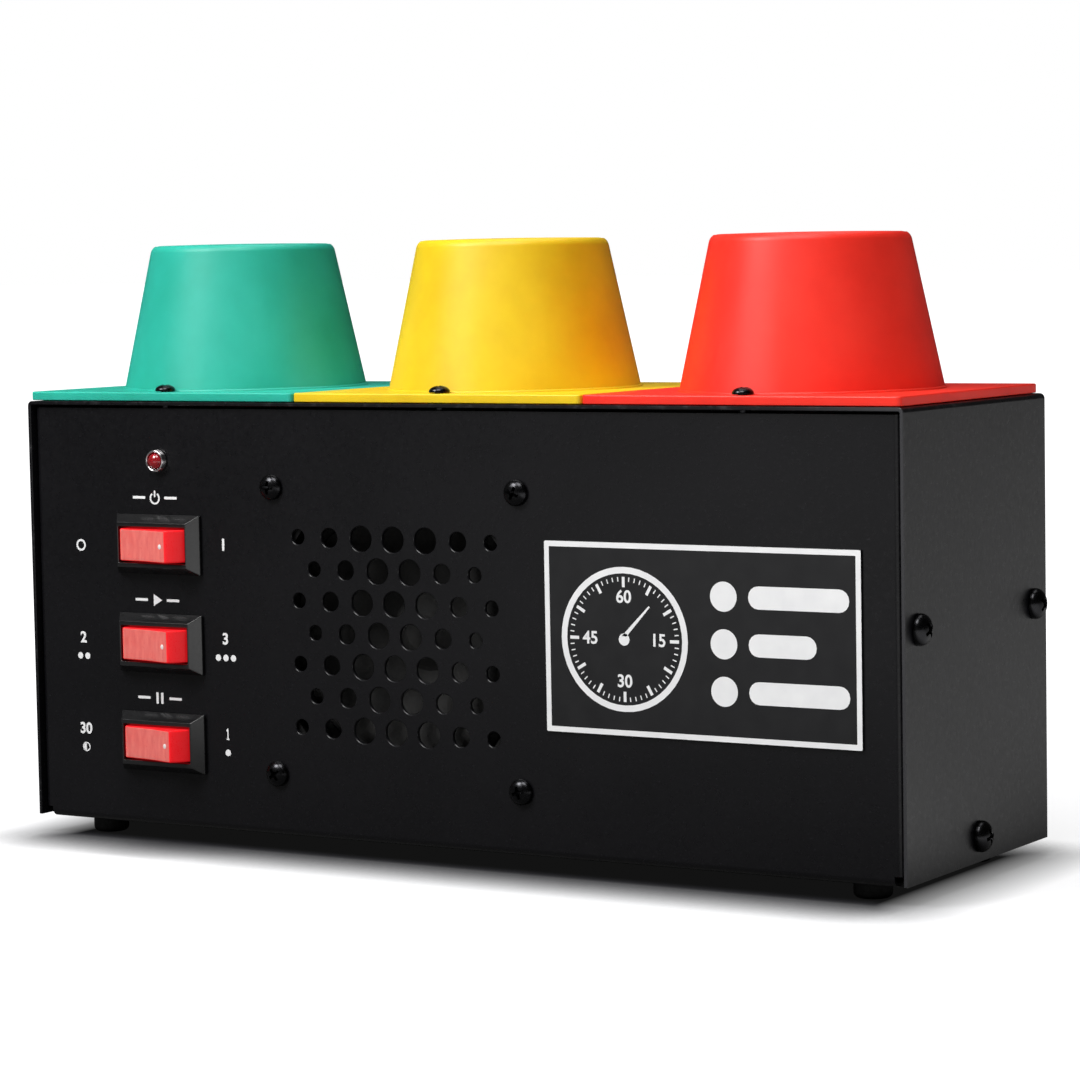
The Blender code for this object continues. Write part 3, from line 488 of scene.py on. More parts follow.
CASE = powder_coat()
LENSES = {
    "green": lens_paint("green", (0.022, 0.410, 0.310), (0.017, 0.360, 0.262), (0.030, 0.455, 0.350)),
    "yellow": lens_paint("yellow", (0.780, 0.530, 0.010), (0.700, 0.455, 0.008), (0.850, 0.600, 0.013)),
    "red": lens_paint("red", (0.880, 0.030, 0.016), (0.790, 0.023, 0.012), (0.940, 0.039, 0.020)),
}
BLACK_STEEL = metal_paint("black_steel", (0.030, 0.030, 0.032), 0.24)
CHROME = metal_paint("chrome", (0.78, 0.75, 0.76), 0.20)
BARE_STEEL = metal_paint("bare_steel", (0.56, 0.57, 0.58), 0.30, (1, 0.08, 1))
BRASS = metal_paint("tinned_brass", (0.72, 0.66, 0.50), 0.25, (1, 0.1, 1))
RUBBER = plain_paint("foot_rubber", grey(0.006), grey(0.013), (0.60, 0.80), 1400, 0.00002)
SWITCH = plain_paint(
    "switch_plastic", grey(0.0050, 0.0005), grey(0.0075, 0.0005), (0.17, 0.24), 1900, 0.000006,
    Specular_IOR_Level=0.8,
)
INLET = plain_paint("inlet_plastic", grey(0.012), grey(0.019, 0.001), (0.36, 0.50), 1600, 0.00001)
PLATE = plain_paint(
    "nameplate_print", grey(0.006, 0.001), grey(0.010, 0.001), (0.30, 0.42), 1800, 0.000006
)
# Painted light: the front face is the body's red plastic coloured paler and pinker, as it looks where light
# falls on it.
ROCKER_FACE_PAINTED_LIGHT = rocker_paint("rocker_face_painted_light", (0.76, 0.130, 0.118), (0.86, 0.215, 0.185), 0.32, 0.00001)
# Painted glow: emission brightens the body's red, whose sides face away from the lights; no lamp is
# modelled inside the rocker.
ROCKER_BODY = rocker_paint(
    "rocker_red", (0.80, 0.010, 0.016), (0.92, 0.018, 0.026), 0.30, 0.000006, coat=0.0, painted_glow=0.24, shine=0.3
)
ROCKER_DOT = plain_paint(
    "rocker_dot", (0.80, 0.72, 0.70), (0.90, 0.84, 0.82), (0.25, 0.35), 1500, 0.000004
)
INDICATOR = rocker_paint(
    "indicator_red", (0.22, 0.004, 0.008), (0.34, 0.008, 0.014), 0.10, 0.000004, coat=0.8
)
WHITE_PRINT = print_paint()
SPEAKER_STEEL = plain_paint(
    "speaker_steel", grey(0.012), grey(0.024), (0.34, 0.48), 1300, 0.00001, metallic=0.7
)
PAPER = plain_paint(
    "speaker_paper", grey(0.012), (0.028, 0.027, 0.026), (0.80, 0.95), 900, 0.00008
)
FOAM = plain_paint("speaker_foam", grey(0.008), grey(0.016), (0.82, 0.96), 1500, 0.00004)
GLASS = plain_paint(
    "lamp_glass", grey(0.86, -0.02), grey(0.94, -0.02), (0.04, 0.10), 900, 0.000004, Alpha=0.35
)
PHENOLIC = plain_paint(
    "lamp_holder_plastic", (0.022, 0.015, 0.010), (0.040, 0.028, 0.018), (0.28, 0.40), 1200, 0.00001
)
NYLON = plain_paint(
    "rail_nylon", (0.58, 0.57, 0.52), (0.72, 0.71, 0.66), (0.40, 0.52), 1400, 0.000008
)
LAMINATIONS = plain_paint(
    "transformer_varnish", (0.14, 0.11, 0.08), (0.28, 0.23, 0.17), (0.30, 0.48), 1500, 0.00006,
    metallic=0.5, stretch=(1.6, 0.04, 0.04),
)
BOARD = board_paint()
SLEEVE = sleeve_paint()


# ---- the case ----
def speaker_holes():
    """Radius and middle of each hole of the grille, in staggered rows round the loudspeaker's axis."""
    axis = middle_of("speaker_basket")
    for row, count in enumerate(HOLE_ROWS):
        up = axis.z + (len(HOLE_ROWS) // 2 - row) * HOLE_PITCH_Z
        for number in range(count):
            steps = number - (count - 1) / 2
            spot = Vector((axis.x + steps * HOLE_PITCH_X, PANEL_Y, up))
            yield HOLE_RADII[math.floor(abs(steps) + 0.5)], spot


FACING = {
    "front": Matrix.Rotation(math.pi / 2, 4, "X"),
    "back": Matrix.Rotation(-math.pi / 2, 4, "X"),
    "right": Matrix.Rotation(math.pi / 2, 4, "Y"),
    "left": Matrix.Rotation(-math.pi / 2, 4, "Y"),
    "up": Matrix.Identity(4),
    "down": Matrix.Rotation(math.pi, 4, "X"),
}


def add_hole(bm, radius, spot, facing, segments=24, flare=0.00022):
    """A cutter for a round hole whose outer edge is broken; spot is on the outside face."""
    profile = [(0, 0.001), (radius + flare + 0.001, 0.001), (radius, -flare)]
    profile += [(radius, -3 * SHEET), (0, -3 * SHEET)]
    lathe(bm, profile, segments, Matrix.Translation(spot) @ FACING[facing])


def screw_nodes(*kinds):
    """Names of the screws of these kinds; a screw's name starts with its kind."""
    names = (node for node in frame["nodes"] if "_screw_" in node)
    return sorted(node for node in names if node.split("_")[0] in kinds)


def facing_of(node):
    return SCREW_FACES.get(node.split("_")[0]) or ("left" if "left" in node else "right")


def add_screw_hole(bm, node, low, high):
    """A cutter for a screw's hole through the wall of the box low to high that its head stands on."""
    outward = FACING[facing_of(node)] @ Vector((0, 0, 1))
    spot = middle_of(node)
    for axis, way in enumerate(outward):
        if abs(way) > 0.5:
            spot[axis] = high[axis] if way > 0 else low[axis]
    add_hole(bm, SCREW_HOLES[node.split("_")[0]], spot, facing_of(node))


def make_chassis():
    """The folded tray, front, floor and back, with flanges turned in at its ends."""
    low, high = CHASSIS_LOW, CHASSIS_HIGH
    bm = bmesh.new()
    add_box(bm, low, high)
    round_edges(bm, CHASSIS_BEND, 7, lambda middle: middle.z < high.z - SHEET)
    chassis = mesh_of("chassis", bm)

    bm = bmesh.new()
    add_box(bm, low + Vector((SHEET,) * 3), (high.x - SHEET, high.y - SHEET, high.z + 0.01))
    round_edges(bm, CHASSIS_BEND - SHEET, 5, lambda middle: middle.z < high.z)
    hollow = mesh_of("hollow", bm)

    bm = bmesh.new()
    side_low = (low.x - 0.01, low.y + FLANGE_WIDTH, low.z + FLANGE_WIDTH)
    add_box(bm, side_low, (high.x + 0.01, high.y - FLANGE_WIDTH, high.z + 0.02))
    openings = mesh_of("side_openings", bm)

    bm = bmesh.new()
    for x in (low.x, high.x):
        for y in (low.y, high.y):
            corner = Vector((x, y, low.z))
            reach = Vector((CORNER_RELIEF,) * 3)
            add_box(bm, corner - reach, corner + reach)
    reliefs = mesh_of("corner_reliefs", bm)

    bm = bmesh.new()
    for radius, spot in speaker_holes():
        add_hole(bm, radius, spot, "front", 40)
    for node in screw_nodes("cover", "foot", "inlet", "speaker"):
        add_screw_hole(bm, node, low, high)
    light = middle_of("indicator_ring")
    add_hole(bm, INDICATOR_HOLE, Vector((light.x, PANEL_Y, light.z)), "front")
    round_holes = mesh_of("round_holes", bm)

    bm = bmesh.new()
    reach = Vector((SWITCH_BODY[0] / 2 + GAP, 2 * SHEET, SWITCH_BODY[2] / 2 + GAP))
    for name in SWITCHES:
        spot = middle_of(f"{name}_switch_housing")
        spot.y = PANEL_Y
        add_box(bm, spot - reach, spot + reach)
    inlet = middle_of("power_inlet")
    wide, tall = INLET_CUTOUT[0] / 2, INLET_CUTOUT[1] / 2
    inlet_low = (inlet.x - wide, high.y - 3 * SHEET, inlet.z - tall)
    add_box(bm, inlet_low, (inlet.x + wide, high.y + SHEET, inlet.z + tall))
    square_holes = mesh_of("square_holes", bm)

    made = cut(chassis, hollow, openings, reliefs, round_holes, square_holes)
    made.materials.append(CASE)
    show("chassis_shell", made, "timer_body", ["chassis"], even=True)


def cover_section(y, inset):
    """The folded cover's section at one depth, as a closed loop, with its cut edges drawn in."""
    low, high = COVER_LOW, COVER_HIGH
    half, middle_x = (high.x - low.x) / 2, (high.x + low.x) / 2

    def fold(outset, radius):
        edge, top = half - outset, high.z - outset
        bend = arc((edge - radius, top - radius), radius, 0, 90, 7)
        side = [(edge, low.z + inset), *bend]
        return side + [(-x, z) for x, z in reversed(side)]

    outside = fold(inset, COVER_BEND - inset)
    inside = fold(SHEET - inset, COVER_BEND - SHEET + inset)
    return [Vector((middle_x + x, y, z)) for x, z in outside + inside[::-1]]


def make_cover():
    """The folded cover, two sides and a top, with an opening for each lamp."""
    low, high = COVER_LOW, COVER_HIGH
    edge = 0.0002
    sections = ((low.y, edge), (low.y + edge, 0), (high.y - edge, 0), (high.y, edge))
    bm = bmesh.new()
    skin(bm, [cover_section(y, inset) for y, inset in sections])
    cover = mesh_of("cover", bm)
    bm = bmesh.new()
    for node in screw_nodes("cover", "lens"):
        add_screw_hole(bm, node, low, high)
    for colour in COLOURS:
        spot = middle_of(f"lens_{colour}")
        add_hole(bm, LAMP_OPENING, Vector((spot.x, spot.y, high.z)), "up", 72)
    made = cut(cover, mesh_of("cover_holes", bm))
    made.materials.append(CASE)
    show("cover_shell", made, "timer_body", ["cover"], even=True)


# ---- screws ----
def screw_mesh(name, head_radius, head_height, shank_radius, length):
    """A pan-head screw with a tapered cross recess, its seat at the origin and its head above."""
    land = head_height * 0.16
    bm = bmesh.new()
    profile = [(0, head_height)]
    for i in range(1, 9):
        turn = math.pi / 2 * i / 8
        rise = (head_height - land) * math.cos(turn) ** 1.15
        profile.append((head_radius * math.sin(turn) ** 0.86, land + rise))
    profile[-1] = (head_radius, land)
    broken, point = 0.00012, 0.0006
    profile += [(head_radius, broken), (head_radius - broken, 0), (shank_radius, 0)]
    profile += [(shank_radius, -length + point), (shank_radius - point, -length), (0, -length)]
    lathe(bm, profile, 40)
    head = mesh_of(name, bm)
    tools = []
    for turn in (0, math.pi / 2):
        bm = bmesh.new()
        rows = []
        for height, reach, width in ((1.1, 0.58, 0.13), (0.45, 0.40, 0.095), (0.22, 0.20, 0.06)):
            x, y, z = head_radius * reach, head_radius * width, head_height * height
            rows.append([Vector(p) for p in ((x, y, z), (-x, y, z), (-x, -y, z), (x, -y, z))])
        skin(bm, [[Matrix.Rotation(turn, 3, "Z") @ p for p in row] for row in rows])
        tools.append(mesh_of("recess", bm))
    bm = bmesh.new()
    cone = [(0, head_height * 1.1), (head_radius * 0.27, head_height * 1.1)]
    cone += [(head_radius * 0.17, head_height * 0.4), (0, head_height * 0.12)]
    lathe(bm, cone, 16)
    tools.append(mesh_of("recess_middle", bm))
    made = cut(head, *tools)
    made.materials.append(BLACK_STEEL)
    return dressed(made, angle=32)


def make_screws():
    """Each screw sits where its CAD node is, turned a different way as real ones are."""
    meshes = {kind: screw_mesh(f"{kind}_screw", *sizes) for kind, sizes in SCREWS.items()}
    for number, node in enumerate(screw_nodes(*SCREWS)):
        kind = node.split("_")[0]
        low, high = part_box(node)
        facing = FACING[facing_of(node)]
        outward = facing @ Vector((0, 0, 1))
        seat = abs((high - low).dot(outward)) / 2 - SCREWS[kind][1]
        turn = Matrix.Rotation(math.radians(17 + 71 * number), 4, "Z")
        place = Matrix.Translation((low + high) / 2 + outward * seat) @ facing @ turn
        show(f"{node}_made", meshes[kind], "timer_body", [node], place, even=True)


# ---- lenses ----
def rounded_rectangle(half_x, half_y, corner, side_steps=22, corner_steps=5):
    """Points round a rectangle with rounded corners, anticlockwise, about its middle."""
    points = []
    for quarter, (sx, sy) in enumerate(((1, 1), (-1, 1), (-1, -1), (1, -1))):
        centre = (sx * (half_x - corner), sy * (half_y - corner))
        points.append(arc(centre, corner, 90 * quarter, 90 * quarter + 90, corner_steps))
    loop = []
    for here, following in zip(points, points[1:] + points[:1]):
        loop += here
        (x0, y0), (x1, y1) = here[-1], following[0]
        for i in range(1, side_steps):
            share = i / side_steps
            loop.append((x0 + (x1 - x0) * share, y0 + (y1 - y0) * share))
    return loop


def lens_mesh(colour):
    """A tapered cup on a square flange in one moulding, open underneath."""
    low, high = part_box(f"lens_{colour}")
    half_x, half_y = (high.x - low.x) / 2, (high.y - low.y) / 2
    height = high.z - low.z
    bearings = [math.atan2(y, x) for x, y in rounded_rectangle(half_x, half_y, FLANGE_CORNER)]
    slope = (LENS_BASE_RADIUS - LENS_TOP_RADIUS) / (height - LENS_FLANGE)
    lean = math.degrees(math.atan(slope))

    def circle(radius, z):
        if radius == 0:
            return [Vector((0, 0, z))]
        return [Vector((radius * math.cos(a), radius * math.sin(a), z)) for a in bearings]

    def square(inset, z):
        loop = rounded_rectangle(half_x - inset, half_y - inset, FLANGE_CORNER - inset)
        return [Vector((x, y, z)) for x, y in loop]

    def wall(shrink):
        """The section's rounded top corner, and a function giving the side's radius by height."""
        top, radius = height - shrink, LENS_CORNER - shrink
        base = LENS_BASE_RADIUS - shrink / math.cos(math.radians(lean))
        middle_z = top - radius
        middle_x = base - slope * (middle_z - LENS_FLANGE) - radius / math.cos(math.radians(lean))
        return arc((middle_x, middle_z), radius, 90, lean, 10), lambda z: base - slope * (z - LENS_FLANGE)

    outer, outer_side = wall(0)
    flat = outer[0][0]
    rows = [circle(0, height)]
    rows += [circle(radius, height - LENS_CROWN * (radius / flat) ** 2) for radius in (0.008, 0.016, 0.023)]
    rows += [circle(radius, z - LENS_CROWN) for radius, z in outer[:4]]
    rows += [circle(radius, z) for radius, z in outer[4:]]
    start = LENS_FLANGE + LENS_FILLET
    for i in range(1, 7):
        z = outer[-1][1] + (start - outer[-1][1]) * i / 6
        rows.append(circle(outer_side(z), z))
    foot = outer_side(start) + LENS_FILLET
    for i in range(1, 5):
        turn = math.pi / 2 * i / 4
        drop = LENS_FILLET * (1 - math.cos(turn))
        rows.append(circle(foot - LENS_FILLET * (1 - math.sin(turn)), start - drop))
    rows.append(square(FLANGE_EDGE, LENS_FLANGE))
    for i in range(1, 4):
        turn = math.pi / 2 * i / 3
        drop = FLANGE_EDGE * (1 - math.cos(turn))
        rows.append(square(FLANGE_EDGE * (1 - math.sin(turn)), LENS_FLANGE - drop))
    rows += [square(0, 0.0002), square(0.0002, 0)]
    inner, inner_side = wall(LENS_WALL)
    rows += [circle(inner_side(z), z) for z in (0, 0.012, 0.024)]
    rows += [circle(radius, z) for radius, z in reversed(inner)]
    rows.append(circle(0, inner[0][1]))
    bm = bmesh.new()
    skin(bm, rows)
    lens = mesh_of(f"lens_{colour}", bm)
    bm = bmesh.new()
    centre = (low + high) / 2
    for node in (f"lens_screw_{colour}_front", f"lens_screw_{colour}_back"):
        spot = middle_of(node) - centre
        add_hole(bm, MOULDING_HOLE, Vector((spot.x, spot.y, LENS_FLANGE)), "up", 20)
    return cut(lens, mesh_of("lens_holes", bm)), Vector((centre.x, centre.y, low.z))


def make_lenses():
    for colour in COLOURS:
        mesh, spot = lens_mesh(colour)
        mesh.materials.append(LENSES[colour])
        show(f"lens_{colour}_moulding", mesh, "timer_body", [f"lens_{colour}"],
             Matrix.Translation(spot), even=True)


# ---- switches ----
def rectangle(half_x, half_z, y):
    corners = ((half_x, half_z), (-half_x, half_z), (-half_x, -half_z), (half_x, -half_z))
    return [Vector((x, y, z)) for x, z in corners]


def housing_mesh(base):
    """A switch housing about its rocker's pivot: bevelled bezel, lipped cavity and body."""
    rim = -PIVOT_DEPTH
    back_of_bezel = rim + BEZEL_RISE - GAP
    body_back = back_of_bezel - 0.001 + SWITCH_BODY[1]
    cavity_back = rim + SWITCH_LIP + CAVITY_DEPTH
    cavity_x, cavity_z = SWITCH_CAVITY[0] / 2, SWITCH_CAVITY[1] / 2
    rows = [
        rectangle(cavity_x, cavity_z, cavity_back),
        rectangle(cavity_x, cavity_z, rim + SWITCH_LIP),
        rectangle(SWITCH_MOUTH / 2, cavity_z - 0.00001, rim + SWITCH_LIP),
        rectangle(SWITCH_MOUTH / 2, cavity_z - 0.00001, rim),
        rectangle(BEZEL_TOP[0] / 2, BEZEL_TOP[1] / 2, rim),
        rectangle(base.x / 2, base.z / 2, back_of_bezel - 0.0008),
        rectangle(base.x / 2, base.z / 2, back_of_bezel),
        rectangle(SWITCH_BODY[0] / 2, SWITCH_BODY[2] / 2, back_of_bezel),
        rectangle(SWITCH_BODY[0] / 2, SWITCH_BODY[2] / 2, body_back),
    ]
    bm = bmesh.new()
    skin(bm, rows)
    front, outside = rim + SWITCH_LIP / 2, base.x * 0.45
    round_edges(bm, 0.00022, 2, lambda middle: middle.y < front or abs(middle.x) > outside)
    housing = mesh_of("switch_housing", bm)
    bm = bmesh.new()
    bore, reach = PIN_RADIUS + GAP, SWITCH_BODY[2] / 2 + 0.005
    lathe(bm, [(0, reach), (bore, reach), (bore, -reach), (0, -reach)], 24)
    return cut(housing, mesh_of("pin_holes", bm)), back_of_bezel, body_back


def make_switch(name):
    """A housing with three terminals behind it and a sprung lug at each end behind the panel."""
    node = f"{name}_switch_housing"
    pivot = PIVOTS[f"{name}_rocker"]
    low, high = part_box(node)
    mesh, back_of_bezel, body_back = housing_mesh(high - low)
    mesh.materials.append(SWITCH)
    place = Matrix.Translation(pivot)
    show(f"{node}_moulding", mesh, "timer_body", [node], place, even=True)

    bm = bmesh.new()
    half_x, half_z = 0.0004, 0.0024
    for x in (-TERMINAL_PITCH, 0, TERMINAL_PITCH):
        add_box(bm, (x - half_x, body_back + CLEAR, -half_z), (x + half_x, high.y - pivot.y, half_z))
    round_edges(bm, 0.0002, 1)
    terminals = mesh_of("terminals", bm, BRASS)
    show(f"{name}_switch_terminals", terminals, "timer_body", matrix=place)

    bm = bmesh.new()
    start = back_of_bezel + GAP + SHEET + GAP
    inner = SWITCH_BODY[0] / 2 + CLEAR
    outer = SWITCH_BODY[0] / 2 + 0.0012
    for side in (-1, 1):
        for vert in add_box(bm, (inner, start, -0.003), (outer, start + 0.005, 0.003)):
            if vert.co.y > start + 0.002 and vert.co.x > inner + 0.0005:
                vert.co.x = inner + 0.0001
            vert.co.x *= side
    lugs = mesh_of("lugs", bm, SWITCH)
    show(f"{name}_switch_lugs", lugs, "timer_body", matrix=place)


def rocker_outline():
    """Across and outward of the rocker's side view, level, about its pivot."""
    corner = math.acos((PIVOT_DEPTH + 0.0001) / ROCKER_RADIUS) - ROCKER_TILT
    top = math.pi / 2 - corner
    corner_x, corner_out = ROCKER_RADIUS * math.cos(top), ROCKER_RADIUS * math.sin(top)
    turns = [top + (math.radians(2) - top) * i / 14 for i in range(15)]
    right = [(ROCKER_RADIUS * math.cos(a), ROCKER_RADIUS * math.sin(a)) for a in turns]
    left = [(-x, out) for x, out in reversed(right)]
    dish = corner_out - corner_x * math.tan(ROCKER_DISH)
    return [(0, dish)] + right + [(0.003, -0.003), (-0.003, -0.003)] + left


def make_rocker(name):
    """A rocker with its pins, and a small pale dome near its raised end."""
    outline = rocker_outline()
    half = ROCKER_HEIGHT / 2
    bm = bmesh.new()
    skin(bm, [[Vector((x, -out, z)) for x, out in outline] for z in (-half, half)])
    round_edges(bm, 0.0005, 4, lambda middle: middle.y < 0.001)
    tip = half + TRUNNION
    pin = [(0, tip), (PIN_RADIUS - 0.0002, tip), (PIN_RADIUS, tip - 0.0002)]
    rocker = mesh_of("rocker", bm)
    bm = bmesh.new()
    lathe(bm, pin + [(radius, -height) for radius, height in reversed(pin)], 24)
    mesh = cut(rocker, mesh_of("pin", bm), operation="UNION")
    mesh.materials.append(ROCKER_BODY)
    mesh.materials.append(ROCKER_FACE_PAINTED_LIGHT)
    # Faces towards the front take the paler face material, which is painted light.
    for face in mesh.polygons:
        face.material_index = 1 if face.normal.y < -0.97 and face.center.y < -0.003 else 0
    node = f"{name}_rocker"
    place = Matrix.Translation(PIVOTS[node]) @ Matrix.Rotation(-ROCKER_TILT, 4, "Z")
    show(f"{node}_moulding", mesh, node, [node], place, even=True)
    corner_x, corner_out = outline[1]
    drop = ROCKER_DOT_INSET * math.tan(ROCKER_DISH)
    spot = Vector((corner_x - ROCKER_DOT_INSET, drop - corner_out, 0))
    turn = Matrix.Rotation(ROCKER_DISH, 4, "Z") @ FACING["front"]
    bm = bmesh.new()
    radius = ROCKER_DOT_RADIUS
    dome = [(0, 0.00018), (radius * 0.5, 0.00014), (radius * 0.85, 0.00006), (radius, 0.00001)]
    dome += [(radius, -0.0003), (0, -0.0003)]
    lathe(bm, dome, 24)
    dot = mesh_of("dot", bm, ROCKER_DOT)
    show(f"{node}_dot", dot, node, matrix=place @ Matrix.Translation(spot) @ turn)


# ---- indicator ----
def make_indicator():
    """A turned ring with a threaded barrel, and the domed lens in it."""
    middle = middle_of("indicator_ring")
    place = Matrix.Translation((middle.x, PANEL_Y - GAP, middle.z)) @ FACING["front"]
    profile = arc((0.00325, 0.0017), 0.0004, 180, 30, 6)
    profile += arc((0.0034, 0.0004), 0.0004, 30, 0, 3) + [(0.0038, 0), (0.0030, 0)]
    profile += [(0.0030, -0.009), (0.0024, -0.009), (0.0024, 0), (0.00275, 0.0003)]
    bm = bmesh.new()
    lathe(bm, profile, 56, wrap=True)
    turned = mesh_of("indicator_ring", bm, CHROME)
    show("indicator_ring_turned", turned, "timer_body", ["indicator_ring"], place)
    radius, shoulder, rise = 0.00262, 0.0012, 0.0018
    turns = [math.radians(angle) for angle in range(0, 91, 9)]
    dome = [(radius * math.sin(a), shoulder + rise * math.cos(a)) for a in turns]
    dome += [(radius, 0.0006), (0.0020, 0.0006), (0.0020, -0.007), (0, -0.007)]
    bm = bmesh.new()
    lathe(bm, dome, 40)
    lens = mesh_of("indicator_lens", bm, INDICATOR)
    show("indicator_lens_moulding", lens, "timer_body", ["indicator_lens"], place)


# ---- feet and inlet ----
def make_feet():
    """Round rubber feet, each with a counterbore for its screw's head."""
    for node in sorted(n for n in frame["nodes"] if n.startswith("foot_") and "screw" not in n):
        low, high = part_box(node)
        radius, height = (high.x - low.x) / 2, high.z - low.z
        profile = [(0.0016, height), (radius - 0.0003, height), (radius, height - 0.0003)]
        profile += arc((radius - 0.0018, 0.0018), 0.0018, 0, -90, 8)
        profile += [(0.0032, 0), (0.0029, 0.0003), (0.0029, 0.0027), (0.0016, 0.0027)]
        bm = bmesh.new()
        lathe(bm, profile, 48, wrap=True)
        place = Matrix.Translation(((low.x + high.x) / 2, (low.y + high.y) / 2, low.z))
        show(f"{node}_moulding", mesh_of("foot", bm, RUBBER), "timer_body", [node], place)


def make_inlet():
    """A three-pin power inlet: a flange, a body through the back panel, and a keyed socket."""
    low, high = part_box("power_inlet")
    spot = Vector(((low.x + high.x) / 2, high.y - INLET_RISE, (low.z + high.z) / 2))
    half_x, half_z = (high.x - low.x) / 2, (high.z - low.z) / 2
    mouth = INLET_RISE + 0.001

    def plate(inset, y):
        loop = rounded_rectangle(half_x - inset, half_z - inset, 0.004 - inset, 2, 6)
        return [Vector((x, y, z)) for x, z in loop]

    bm = bmesh.new()
    edge = ((0, 0.0004), (0.00012, 0.00012), (0.0004, 0))  # inset, and depth under the face
    skin(bm, [plate(0, 0)] + [plate(inset, INLET_RISE - depth) for inset, depth in edge])
    flange = mesh_of("power_inlet", bm)

    bm = bmesh.new()
    wide, tall = INLET_BODY[0] / 2, INLET_BODY[1] / 2
    add_box(bm, (-wide, low.y - spot.y, -tall), (wide, 0.001, tall))
    body = cut(flange, mesh_of("shell", bm), operation="UNION")

    bm = bmesh.new()
    wide, tall = INLET_SOCKET[0] / 2, INLET_SOCKET[1] / 2
    chamfer = INLET_SOCKET_CHAMFER
    right = [(wide, -tall), (wide, tall - chamfer), (wide - chamfer, tall)]
    outline = right + [(-x, z) for x, z in reversed(right)]
    rows = []
    for y, grow in ((mouth, 0.0016), (INLET_RISE - 0.0006, 0), (mouth - INLET_DEPTH, 0)):
        rows.append([Vector((x * (1 + grow / wide), y, z * (1 + grow / tall))) for x, z in outline])
    skin(bm, rows)
    socket = mesh_of("socket", bm)

    bm = bmesh.new()
    for node in ("inlet_screw_left", "inlet_screw_right"):
        screw = middle_of(node)
        add_hole(bm, MOULDING_HOLE, Vector((screw.x - spot.x, INLET_RISE, screw.z - spot.z)), "back", 24)
    made = cut(body, socket, mesh_of("flange_holes", bm))
    made.materials.append(INLET)
    place = Matrix.Translation(spot)
    show("power_inlet_moulding", made, "timer_body", ["power_inlet"], place, even=True)

    bm = bmesh.new()
    start, half_x, half_z = mouth - INLET_DEPTH + CLEAR, 0.001, 0.002
    for x, z in ((-0.007, -0.002), (0.007, -0.002), (0, 0.002)):
        add_box(bm, (x - half_x, start, z - half_z), (x + half_x, start + 0.0135, z + half_z))
    round_edges(bm, 0.0005, 2, lambda middle: middle.y > start + 0.010)
    pins = mesh_of("inlet_pins", bm, BRASS)
    show("power_inlet_pins", pins, "timer_body", matrix=place)


# ---- printing ----
PRINT = 0.00004  # thickness of the printed layer
PRINT_LIFT = 0.00001  # between the surface and the layer
FIGURE_SHARE = 0.73  # height of a figure in the built-in font of size 1


class Print:
    """Flat printed shapes on a surface that faces the front, given by x and z from a middle."""

    def __init__(self, middle_x, surface_y, middle_z):
        self.bm = bmesh.new()
        self.middle = Vector((middle_x, surface_y - PRINT_LIFT, middle_z))

    def at(self, x, z, lift=0.0):
        return self.middle + Vector((x, -lift, z))

    def shape(self, outline):
        skin(self.bm, [[self.at(x, z, lift) for x, z in outline] for lift in (0, PRINT)])

    def bar(self, x, z, width, height, corner=0.0002):
        loop = rounded_rectangle(width / 2, height / 2, min(corner, width / 2.01, height / 2.01), 1, 4)
        self.shape([(x + dx, z + dz) for dx, dz in loop])

    def whole_turn(self, x, z, radius, count):
        return arc((x, z), radius, 0, 360 * (count - 1) / count, count - 1)

    def disc(self, x, z, radius):
        self.shape(self.whole_turn(x, z, radius, 36))

    def band(self, outer, inner):
        """The area between two loops with the same number of points."""
        loops = ((outer, 0), (outer, PRINT), (inner, PRINT), (inner, 0))
        skin(self.bm, [[self.at(x, z, lift) for x, z in loop] for loop, lift in loops], wrap=True)

    def circle(self, x, z, radius, width):
        self.band(self.whole_turn(x, z, radius, 48), self.whole_turn(x, z, radius - width, 48))

    def open_arc(self, x, z, radius, width, start, end):
        outer = arc((x, z), radius, start, end, 30)
        self.shape(outer + arc((x, z), radius - width, end, start, 30))

    def frame_of(self, width, height, line):
        outer = rounded_rectangle(width / 2, height / 2, 0.0004, 1, 2)
        inner = rounded_rectangle(width / 2 - line, height / 2 - line, 0.0002, 1, 2)
        self.band(outer, inner)

    def one(self, x, z, height):
        """A figure 1 with a flag and a foot, which can't be taken for a bar."""
        half, stem = height / 2, height * 0.11
        outline = ((-0.30, -1), (0.30, -1), (0.30, -0.76), (0.12, -0.76), (0.12, 1), (-0.08, 1))
        outline += ((-0.34, 0.62), (-0.24, 0.42), (-0.12, 0.52), (-0.12, -0.76), (-0.30, -0.76))
        self.shape([(x + a * half + stem * 0.1, z + b * half) for a, b in outline])

    def figure(self, text, x, z, height, weight=0.0):
        """Digits of this height, middle at x and z."""
        curve = bpy.data.curves.new("figure", "FONT")
        curve.body = text
        curve.size = height / FIGURE_SHARE
        curve.align_x, curve.align_y = "CENTER", "CENTER"
        curve.offset = weight
        curve.extrude = PRINT / 2
        curve.resolution_u = 6
        holder = linked("figure", curve)
        graph = bpy.context.evaluated_depsgraph_get()
        graph.update()
        mesh = bpy.data.meshes.new_from_object(holder.evaluated_get(graph))
        mesh.transform(Matrix.Translation(self.at(x, z, PRINT / 2)) @ FACING["front"])
        self.bm.from_mesh(mesh)
        bpy.data.objects.remove(holder, do_unlink=True)
        bpy.data.meshes.remove(mesh)

    def finish(self, name):
        bmesh.ops.remove_doubles(self.bm, verts=self.bm.verts, dist=1e-8)
        show(name, mesh_of(name, self.bm, WHITE_PRINT), "timer_body")


